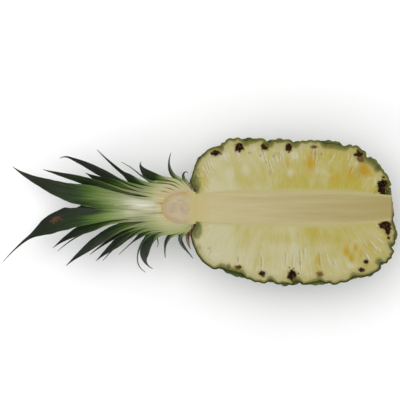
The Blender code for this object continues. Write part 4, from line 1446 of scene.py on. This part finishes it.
UNDER_LEAVES = (
    (10, 8, 41, 130, 18, 0),
    (-20, 20, 46, 110, 19, 0),
    (20, 40, 49, 95, 21, 0),
    (-12, 58, 50, 75, 22, 0),
    (24, 74, 50, 60, 22, 0),
    (-22, 92, 50, 50, 22, 0),
    (8, 108, 47, 40, 24, 0),
    (24, 122, 46, 30, 22, 0),
    (-28, 141, 52, 46, 25, 0),
    (20, 108, 17, 14, 13, 0),
)
COLUMNS = (
    ("upper", SIDE_COLUMN, (0.017, 0.88), UPPER_LEAVES),
    ("lower", -SIDE_COLUMN, (0.05, 0.85), LOWER_LEAVES),
    ("under", 0, (0.083, 0.81), UNDER_LEAVES),
)

# Narrow strips torn from a blade's side: name, column, order in the pack and leaf. Dried scales
# follow, whose courses are in DRIED_SCALES, so only their azimuth, width and roll are used
STRIPS = (
    ("torn_strip_1", -SIDE_COLUMN, 0.8, (-63, 119, 42, 46, 9, 0)),
    ("torn_strip_2", -SIDE_COLUMN, 0.31, (-64, 43, 62, 150, 7, 0)),
    ("torn_strip_3", -SIDE_COLUMN, 0.34, (-70, 33, 36, 60, 7, 0)),
    ("torn_strip_4", -SIDE_COLUMN, 0.55, (-66, 80, 50, 52, 8, 10)),
    ("dried_scale_1", SIDE_COLUMN, 0.0, (80, 0, 0, 0, 13, -20)),
    ("dried_scale_2", SIDE_COLUMN, 0.0, (64, 0, 0, 0, 12, 0)),
    ("dried_scale_3", -SIDE_COLUMN, 0.0, (-80, 0, 0, 0, 13, 20)),
    ("dried_scale_4", -SIDE_COLUMN, 0.0, (-62, 0, 0, 0, 12, 0)),
    ("dried_scale_5", -SIDE_COLUMN, 0.0, (-84, 0, 0, 0, 8, 25)),
)

# The shrivelled lowest leaves by the fruit: height and radius where each starts, the direction that
# it leaves in, where it ends, and the direction that it arrives in
DRIED_SCALES = {
    "dried_scale_1": np.array(((3.2, 14.5), (0.3, 1.0), (2.6, 24.0), (-0.5, 0.87))),
    "dried_scale_2": np.array(((2.2, 14.5), (0.1, 1.0), (1.2, 22.0), (0.0, 1.0))),
    "dried_scale_3": np.array(((3.4, 14.5), (0.3, 1.0), (2.8, 27.0), (-0.4, 0.92))),
    "dried_scale_4": np.array(((2.2, 14.5), (0.1, 1.0), (1.0, 23.0), (0.0, 1.0))),
    "dried_scale_5": np.array(((6.5, 16.5), (0.0, 1.0), (4.0, 36.0), (-0.5, 0.87))),
}

# Where a blade narrows into a thin tail, as a share of its length, and the tail's share of its width
TAILS = {
    "leaf_upper_05": (0.62, 0.3),
    "leaf_upper_04": (0.5, 0.26),
    "leaf_lower_09": (0.76, 0.34),
    "leaf_lower_04": (0.75, 0.26),
}
TAIL_STARTS_BACK, TAIL_ENDS_PAST = 0.14, 0.03

# Tips that hook over: how far back from the tip the hook starts in mm, and its turn in degrees
HOOKS = {
    "leaf_upper_09": (20, 10),
    "leaf_upper_06": (8, -50),
    "leaf_upper_03": (5, 45),
    "leaf_upper_01": (7, 70),
    "leaf_lower_03": (9, -20),
}


def packed_radius(height):
    """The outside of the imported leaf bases, at a height on the crown."""
    risen = 1 - np.exp(-(height - PACK_FOOT) / PACK_RISE)
    return STEM_RADIUS + (PACK_RADIUS - STEM_RADIUS) * risen


def bend(first, leaving, last, arriving, tip_handle=TIP_HANDLE):
    """A cubic curve from first to last, leaving and arriving in the two directions."""
    reach = np.linalg.norm(last - first)
    second = first + leaving / np.linalg.norm(leaving) * reach * BASE_HANDLE
    third = last - arriving * reach * tip_handle
    share = np.linspace(0, 1, 60)[:, None]
    rest = 1 - share
    return rest**3 * first + 3 * rest**2 * share * second + 3 * rest * share**2 * third + share**3 * last


def leaf_line(order, leaf, swell, tip_handle):
    """A leaf's midline in rows of height and radius from base to tip, and its packed length.

    The base lies on the stem, under every leaf before it, as deep in the pack as its order says
    (0 outermost, 1 innermost). Above the pack the leaf bends away to its own tip.
    """
    _, tip_height, tip_radius, tip_points, *_ = leaf
    depth = PACK_DEPTH * order
    heights = np.linspace(MM, PACK_TOP, 400)
    over_stem = packed_radius(heights) - depth - stem_radius(heights)
    is_free = over_stem > LEAF_CLEARANCE
    base = heights[np.argmax(is_free)] if is_free.any() else PACK_TOP
    rise = (PACK_TOP - FIRST_LEAF_TOP) * smooth_step(order, 0.0, TOP_REACHED)
    top = max(FIRST_LEAF_TOP + rise, base + MM)
    packed = np.linspace(base, top, 12)
    swollen = swell * (1 - order) * smooth_step(packed - base, *PACK_SWELLS_OVER)
    packed_line = np.column_stack([packed, packed_radius(packed) - depth + swollen])
    blade = bend(
        packed_line[-1],
        packed_line[-1] - packed_line[-2],
        np.array([tip_height, tip_radius]) * MM,
        np.array([math.cos(math.radians(tip_points)), math.sin(math.radians(tip_points))]),
        tip_handle,
    )
    packed_length = np.linalg.norm(np.diff(packed_line, axis=0), axis=1).sum()
    return np.vstack([packed_line, blade[1:]]), packed_length


def hooked(line, reach, degrees):
    """The line with its last stretch curled over."""
    steps = np.diff(line, axis=0)
    travelled = np.cumsum(np.linalg.norm(steps, axis=1))
    curl = np.radians(degrees) * np.clip(1 - (travelled[-1] - travelled) / reach, 0, 1)
    cosine, sine = np.cos(curl), np.sin(curl)
    height, radius = steps.T
    turned = np.column_stack([height * cosine - radius * sine, height * sine + radius * cosine])
    return np.vstack([line[:1], line[0] + np.cumsum(turned, axis=0)])


def leaf_course(name, order, column, leaf):
    """A leaf's midline in rows: share and length from its base, height, radius and slope."""
    if name in DRIED_SCALES:
        start, leaving, end, arriving = DRIED_SCALES[name]
        line, packed_length = bend(start * MM, leaving, end * MM, arriving), 0.0
    else:
        swell = UPPER_SWELL if column == SIDE_COLUMN else 0.0
        line, packed_length = leaf_line(order, leaf, swell, TIP_HANDLES.get(name, TIP_HANDLE))
    if name in HOOKS:
        reach, degrees = HOOKS[name]
        line = hooked(line, reach * MM, degrees)
    travelled = np.concatenate([[0], np.cumsum(np.linalg.norm(np.diff(line, axis=0), axis=1))])
    shares = travelled / travelled[-1]
    rising, spreading = (np.gradient(values, shares) for values in line.T)
    slopes = np.unwrap(np.arctan2(spreading, rising))
    share = np.linspace(0, 1, LEAF_ROWS) ** CLOSER_AT_TIP
    height, radius, slope = (np.interp(share, shares, values) for values in (*line.T, slopes))
    return share, share * travelled[-1], packed_length, height, radius, slope


def leaf_axes(name, column, leaf, share, height, radius, slope):
    """Each row's middle, and its sideways and inward directions."""
    tip_azimuth, *_, tip_roll = leaf
    turns_over = YOUNGEST_TURNS_OVER if name in YOUNGEST_ROLLS else TURNS_OVER
    azimuth = np.radians(column + (tip_azimuth - column) * smooth_step(share, *turns_over))
    roll = np.radians(tip_roll * smooth_step(share, *ROLLS_OVER))
    if name in YOUNGEST_ROLLS:
        rolled = smooth_step(share, *YOUNGEST_ROLLS_OVER)
        rolled = rolled * (1 - smooth_step(share, *YOUNGEST_UNROLLS_OVER))
        roll = np.radians(YOUNGEST_ROLLS[name]) * rolled
    zero = np.zeros_like(share)
    outward = np.column_stack([zero, np.sin(azimuth), -np.cos(azimuth)])
    flat_side = np.column_stack([zero, np.cos(azimuth), np.sin(azimuth)])
    flat_inward = np.column_stack([-np.sin(slope), zero, zero]) - outward * np.cos(slope)[:, None]
    cosine, sine = np.cos(roll)[:, None], np.sin(roll)[:, None]
    middle = np.column_stack([STEM_FOOT - height, zero + AXIS_Y, zero + CUT_HEIGHT])
    middle = middle + outward * radius[:, None]
    return middle, flat_side * cosine + flat_inward * sine, flat_inward * cosine - flat_side * sine


def leaf_half_width(name, width, share, radius):
    """Half of a leaf's width at each row, with its taper and its tail."""
    taper = (1 - share**TAPER_POWER) ** TAPER_FULLNESS
    if name in TAILS:
        narrows, tail_width = TAILS[name]
        tail = smooth_step(share, narrows - TAIL_STARTS_BACK, narrows + TAIL_ENDS_PAST)
        taper = taper * (1 - (1 - tail_width) * tail)
    room = np.maximum(radius, MM) * NARROWER_BASES.get(name, BASE_WIDTH)
    return np.minimum(width / 2 * MM * taper + TIP_HALF_WIDTH, room)


def margin_wander(length, across, seed):
    """How far each margin wanders out and in along the leaf, as a share of its half width."""
    edges = []
    for side in (0, 9):
        places = [Vector((along / MARGIN_WANDER_SIZE, seed, side)) for along in length]
        edges.append(np.array([noise.noise(place) for place in places])[:, None])
    return np.where(across < 0, *edges) * MARGIN_WANDER * np.abs(across) ** 3


def leaf_surface(name, order, column, leaf, rng):
    """A leaf's middle surface as a grid, its inward directions, and its length and width there."""
    share, length, packed_length, *midline = leaf_course(name, order, column, leaf)
    middle, sideways, inward = leaf_axes(name, column, leaf, share, *midline)
    *_, width, _ = leaf
    radius = midline[1]
    half_width = leaf_half_width(name, width, share, radius)
    curl = radius + (BLADE_CURL - radius) * smooth_step(share, *CURL_OPENS)
    curl = np.maximum(np.maximum(curl, half_width), BLADE_THICKNESS)
    across = np.linspace(-1, 1, LEAF_COLUMNS)[None, :]
    seed = float(rng.uniform(0, 100))
    wander = margin_wander(length, across, seed)
    loose = smooth_step(length, packed_length, packed_length + LOOSENS_OVER)[:, None]
    turned = half_width[:, None] * across * (1 + wander * loose) / curl[:, None]
    sine, cosine = np.sin(turned)[..., None], np.cos(turned)[..., None]
    reach = curl[:, None, None]
    surface = middle[:, None] + sideways[:, None] * reach * sine + inward[:, None] * reach * (1 - cosine)
    normals = inward[:, None] * cosine - sideways[:, None] * sine
    waves = roughened(surface.reshape(-1, 3), WAVE_SIZE, seed).reshape(turned.shape)
    narrow = np.clip(half_width[:, None] / WAVES_FROM_HALF_WIDTH, 0, 1)
    surface = surface + normals * (waves * WAVE_HEIGHT * loose * narrow)[..., None]
    return surface, normals, length, packed_length, half_width, across


def leaf_thickness(length, packed_length, half_width, across):
    """Thick in the pack, thinner in the blade, and thinnest at the tip and the margins."""
    thinned = smooth_step(length, packed_length, packed_length + THINS_OVER)
    thickness = BASE_THICKNESS + (BLADE_THICKNESS - BASE_THICKNESS) * thinned
    thickness = thickness * (FOOT_SHARE + (1 - FOOT_SHARE) * smooth_step(length, 0, FOOT_LENGTH))
    at_tip = smooth_step(length / length[-1], *TIP_THINS_OVER)
    thickness = thickness + (TIP_THICKNESS - thickness) * at_tip
    thickness = np.minimum(thickness, half_width * THICKEST_SHARE)[:, None]
    return thickness * (1 - np.abs(across) ** MARGIN_ROUNDNESS) + MARGIN_THICKNESS


def leaf_values(name, order, length, packed_length, half_width, across):
    """What a leaf's colours are drawn from, at every point of both its faces."""
    past_pack = (length - packed_length)[:, None]
    start, full = (low + (high - low) * order**2 for low, high in (GREEN_STARTS, GREEN_FULL))
    green = smooth_step(past_pack, start, full)
    green = green + DARKENED * smooth_step(past_pack, full, full + DARKENS_OVER)
    # Painted shade of the other young blade's margin, added to the green value
    in_shade = SHADED.get(name, 0.0) * smooth_step(past_pack, *SHADE_STARTS)
    values = {
        "green": green + in_shade * smooth_step(across, *SHADE_SIDE),
        "young": order,
        "dry": float(name in DRIED_SCALES),
        "across_mm": half_width[:, None] * across / MM,
        "along_mm": length[:, None] / MM,
        "to_tip_mm": (length[-1] - length)[:, None] / MM,
    }
    for title, value in values.items():
        values[title] = np.tile(np.broadcast_to(value, (LEAF_ROWS, LEAF_COLUMNS)).ravel(), 2)
    values["underside"] = np.repeat([0.0, 1.0], LEAF_ROWS * LEAF_COLUMNS)
    return values


def make_leaf(name, order, column, leaf, rng):
    """Both faces of a leaf, joined at its margins and ends, and cut by the knife."""
    surface, normals, *measures = leaf_surface(name, order, column, leaf, rng)
    half = leaf_thickness(*measures)[..., None] / 2
    points = np.concatenate([surface + normals * half, surface - normals * half]).reshape(-1, 3)
    index = np.arange(LEAF_ROWS * LEAF_COLUMNS).reshape(LEAF_ROWS, LEAF_COLUMNS)
    upper = quads_of(index)
    under = upper[:, ::-1] + index.size
    rim = np.concatenate([index[0], index[1:, -1], index[-1, -2::-1], index[-2:0:-1, 0]])
    ahead = np.roll(rim, -1)
    rims = np.stack([rim, ahead, ahead + index.size, rim + index.size], axis=-1)
    faces = [tuple(face) for face in np.concatenate([upper, under, rims]).tolist()]
    bm = mesh_of(points, faces, **leaf_values(name, order, *measures))
    bmesh.ops.recalc_face_normals(bm, faces=bm.faces)
    knife_cut(bm, rng.uniform(0, CUT_UNEVENNESS))
    return bm


# Leather-tough waxy epidermis: dark green above over pale fibre, silvered below by fine scales,
# with close parallel veins. Where it is cut or shaded in the pack it is white or cream and moist
LEAF_GREENS = (
    (0.0, "a8ac88"),
    (0.126, "a1a77f"),
    (0.252, "8b9864"),
    (0.422, "6c8043"),
    (0.563, "4a6128"),
    (0.674, "2a4017"),
    (0.741, "1e2a12"),
    (1.0, "141c0b"),
)
PACK_COLOURS = ((0.0, "a8996c"), (0.22, "a09d73"), (0.52, "828a4e"), (1.0, "526236"))
# The pack's colours centre 3 mm to +Y of the axis, so its +Y side is painted lighter and its -Y side darker:
# painted light and shade
PACK_MIDDLE = (-101.5 * MM, AXIS_Y + 3 * MM, CUT_HEIGHT)
RUST_MIDDLE, RUST_SIZE, RUST_TURN = (-204 * MM, -6 * MM, 0), (8 * MM, 3 * MM, 1.0), 0.4
RUST_SPOT = 2.2 * MM
TONGUE_MIDDLE, TONGUE_SIZE = (-130 * MM, AXIS_Y + 4.5 * MM, CUT_HEIGHT), (15 * MM, 3 * MM, 40 * MM)
VEIN, VEIN_RUN, STREAK, STREAK_RUN, BLOTCH = 0.75, 40.0, 2.2, 30.0, 7 * MM
leaf_skin, tree, shader = new_material("leathery_pineapple_leaf", Specular_IOR_Level=0.18)
drawn = {
    title: add_node(tree, "ShaderNodeAttribute", attribute_name=title).outputs["Fac"]
    for title in ("green", "underside", "young", "dry", "across_mm", "along_mm", "to_tip_mm")
}
place = add_node(tree, "ShaderNodeTexCoord").outputs["Object"]
layer_depth = add_node(tree, "ShaderNodeMath", {0: drawn["underside"], 1: 3.0}, operation="MULTIPLY")
run = {"X": drawn["across_mm"], "Y": drawn["along_mm"], "Z": layer_depth}
run = add_node(tree, "ShaderNodeCombineXYZ", run)
fibrous = []
for width, length, detail in ((VEIN, VEIN_RUN, 2.0), (STREAK, STREAK_RUN, 3.0)):
    stretched = {0: run, 1: (1 / width, 1 / length, 1.0)}
    stretched = add_node(tree, "ShaderNodeVectorMath", stretched, operation="MULTIPLY")
    stretched = {"Vector": stretched, "Scale": 1.0, "Detail": detail}
    fibrous.append(add_node(tree, "ShaderNodeTexNoise", stretched))
veins, streaks = fibrous
blotches, spots = (
    add_node(tree, "ShaderNodeTexNoise", {"Vector": place, "Scale": 1 / size, "Detail": detail})
    for size, detail in ((BLOTCH, 2.0), (RUST_SPOT, 3.0))
)

# What drives each layer, where the layer starts and is full, and how strong it is there
from_middle = add_node(tree, "ShaderNodeVectorMath", {0: place, 1: PACK_MIDDLE}, operation="DISTANCE")
from_middle = from_middle.outputs["Value"]
from_rust = {"Vector": place, "Location": RUST_MIDDLE, "Rotation": (0, 0, RUST_TURN), "Scale": RUST_SIZE}
from_rust = add_node(tree, "ShaderNodeMapping", from_rust, vector_type="TEXTURE")
from_rust = add_node(tree, "ShaderNodeVectorMath", {0: from_rust}, operation="LENGTH").outputs["Value"]
from_rust = add_node(tree, "ShaderNodeMath", {0: spots, 1: -3.0, 2: from_rust}, operation="MULTIPLY_ADD")
eased = {
    "whitened": (from_middle, 13 * MM, 20 * MM, 1.0),
    # The next entry drives the painted purple-grey sheen, a painted reflection, on older blades
    "bloom_and_painted_sheen": (streaks, 0.42, 0.72, 0.62),
    "rusted": (from_rust, -0.6, -1.4, 0.75),
    "dried": (drawn["to_tip_mm"], 7.0, 0.5, 0.8),
}
for title, (value, start, full, most) in eased.items():
    eased[title] = {"Value": value, "From Min": start, "From Max": full, "To Max": most}
    eased[title] = add_node(tree, "ShaderNodeMapRange", eased[title], interpolation_type="SMOOTHSTEP")

# Packed bases are tan beside the stem, then straw, olive and green. The young ones stay
# white, and whitest in a tongue above the stem's end
outer = {"Value": from_middle, "From Min": 14 * MM, "From Max": 32 * MM}
outer = add_node(tree, "ShaderNodeMapRange", outer)
outer = add_node(tree, "ShaderNodeMath", {0: streaks, 1: 0.4, 2: outer}, operation="MULTIPLY_ADD")
outer = add_node(tree, "ShaderNodeMath", {0: outer, 1: 0.2}, operation="SUBTRACT")
packed = add_node(tree, "ShaderNodeValToRGB", {"Fac": outer})
tongue = {"Vector": place, "Location": TONGUE_MIDDLE, "Scale": TONGUE_SIZE}
tongue = add_node(tree, "ShaderNodeMapping", tongue, vector_type="TEXTURE")
tongue = add_node(tree, "ShaderNodeVectorMath", {0: tongue}, operation="LENGTH").outputs["Value"]
whitest = add_node(tree, "ShaderNodeMath", {0: tongue, 1: -0.25, 2: streaks}, operation="MULTIPLY_ADD")
whitest = add_node(tree, "ShaderNodeMapRange", {"Value": whitest, "From Min": 0.05, "From Max": 0.4})
young_white = {"Factor": whitest, "A": linear("b2b192"), "B": linear("dcdac9")}
young_white = add_node(tree, "ShaderNodeMix", young_white, data_type="RGBA")
# d0c396 within 13 mm of the pack's middle is a lighter tan on the young bases: painted light against the
# shade that the pith casts there
young_white = {"Factor": eased["whitened"], "A": linear("d0c396"), "B": young_white}
young_white = add_node(tree, "ShaderNodeMix", young_white, data_type="RGBA")
is_young = {"Value": drawn["young"], "From Min": 0.775, "From Max": 0.8}
is_young = add_node(tree, "ShaderNodeMapRange", is_young)
base = {"Factor": is_young, "A": packed, "B": young_white}
base = add_node(tree, "ShaderNodeMix", base, data_type="RGBA")

# The green comes in along the veins, so its edge is streaky
frayed = add_node(tree, "ShaderNodeMath", {0: streaks, 1: -0.5}, operation="ADD")
frayed = add_node(tree, "ShaderNodeMath", {0: frayed, 1: 0.45, 2: drawn["green"]}, operation="MULTIPLY_ADD")
has_green = {"Value": drawn["green"], "From Min": 0.0, "From Max": 0.25}
has_green = add_node(tree, "ShaderNodeMapRange", has_green)
frayed = add_node(tree, "ShaderNodeMath", {0: frayed, 1: has_green}, operation="MULTIPLY")
shade = add_node(tree, "ShaderNodeMath", {0: frayed, 1: 1 + DARKENED}, operation="DIVIDE")
leaf_ramp = add_node(tree, "ShaderNodeValToRGB", {"Fac": shade})
for ramp, stops in ((packed, PACK_COLOURS), (leaf_ramp, LEAF_GREENS)):
    for stop, _ in stops[2:]:
        ramp.color_ramp.elements.new(stop)
    for element, (stop, colour) in zip(ramp.color_ramp.elements, stops):
        element.position = stop
        element.color = linear(colour)
turned_green = add_node(tree, "ShaderNodeMapRange", {"Value": frayed, "From Min": 0.0, "From Max": 0.17})
ground = {"Factor": turned_green, "A": base, "B": leaf_ramp}
ground = add_node(tree, "ShaderNodeMix", ground, data_type="RGBA")
veined = {"Value": veins, "From Min": 0.35, "From Max": 0.65, "To Min": 0.8, "To Max": 1.15}
veined = add_node(tree, "ShaderNodeMapRange", veined)
ground = {0: ground, 1: add_node(tree, "ShaderNodeCombineXYZ", dict.fromkeys("XYZ", veined))}
ground = add_node(tree, "ShaderNodeVectorMath", ground, operation="MULTIPLY")

# A section shows its two skins as thin lines on an inside that is paler, and green in a green blade
inside = add_node(tree, "ShaderNodeMath", {0: drawn["underside"], 1: 0.5, 2: 0.42}, operation="COMPARE")
paler = {"Factor": 0.3, "A": packed, "B": linear("b3ad86")}
paler = add_node(tree, "ShaderNodeMix", paler, data_type="RGBA")
greener = add_node(tree, "ShaderNodeMath", {0: frayed, 1: 1.6}, operation="MULTIPLY", use_clamp=True)
pale = {"Factor": greener, "A": paler, "B": linear("56682f")}
pale = add_node(tree, "ShaderNodeMix", pale, data_type="RGBA")

# Silvery scales below, thicker in bands. Older blades have a painted purple-grey sheen on both sides,
# a painted reflection of the pale room on their dark wax, and tips dry brown
silvered = {"Value": blotches, "From Min": 0.35, "From Max": 0.7, "To Min": 0.1, "To Max": 0.55}
silvered = add_node(tree, "ShaderNodeMapRange", silvered)
below = add_node(tree, "ShaderNodeMath", {0: drawn["underside"], 1: 0.95}, operation="GREATER_THAN")
older = add_node(tree, "ShaderNodeMapRange", {"Value": drawn["young"], "From Min": 0.85, "From Max": 0.45})
full_green = {"Value": drawn["green"], "From Min": 0.8, "From Max": 1.2}
full_green = add_node(tree, "ShaderNodeMapRange", full_green)
bloom_and_painted_sheen = eased["bloom_and_painted_sheen"]
for share in (silvered, drawn["green"]):
    below = add_node(tree, "ShaderNodeMath", {0: below, 1: share}, operation="MULTIPLY")
for share in (older, full_green):
    bloom_and_painted_sheen = add_node(tree, "ShaderNodeMath", {0: bloom_and_painted_sheen, 1: share}, operation="MULTIPLY")
shrivelled = add_node(tree, "ShaderNodeMapRange", {"Value": streaks, "From Min": 0.35, "From Max": 0.65})
shrivelled = {"Factor": shrivelled, "A": linear("43301c"), "B": linear("917048")}
shrivelled = add_node(tree, "ShaderNodeMix", shrivelled, data_type="RGBA")
for factor, over in (
    (inside, pale),
    (below, linear("6b6f72")),
    # 3d3f46 is the painted sheen: a painted reflection on the older blades' wax
    (bloom_and_painted_sheen, linear("3d3f46")),
    (eased["rusted"], linear("5c3a22")),
    (eased["dried"], linear("3a2c1e")),
    (drawn["dry"], shrivelled),
):
    ground = {"Factor": factor, "A": ground, "B": over}
    ground = add_node(tree, "ShaderNodeMix", ground, data_type="RGBA")
glossed = {"Value": streaks, "From Min": 0.3, "From Max": 0.7, "To Min": 0.4, "To Max": 0.6}
glossed = add_node(tree, "ShaderNodeMapRange", glossed)
ribbed = add_node(tree, "ShaderNodeBump", {"Strength": 0.6, "Distance": 0.12 * MM, "Height": veins})
feed(tree, shader, {"Base Color": ground, "Roughness": glossed, "Normal": ribbed})

LEAF_SEED = 21
leaf_rng = np.random.default_rng(LEAF_SEED)
for title, column, orders, leaves in COLUMNS:
    for layer, (order, leaf) in enumerate(zip(np.linspace(*orders, len(leaves)), leaves)):
        name = f"leaf_{title}_{layer + 1:02d}"
        blade = make_leaf(name, order, column, leaf, leaf_rng)
        blade = add_piece(name.replace("leaf", "blade"), blade, leaf_skin)
        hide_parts(name)
        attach(blade, "root")

for name, column, order, leaf in STRIPS:
    strip = add_piece(name, make_leaf(name, order, column, leaf, leaf_rng), leaf_skin)
    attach(strip, "root")
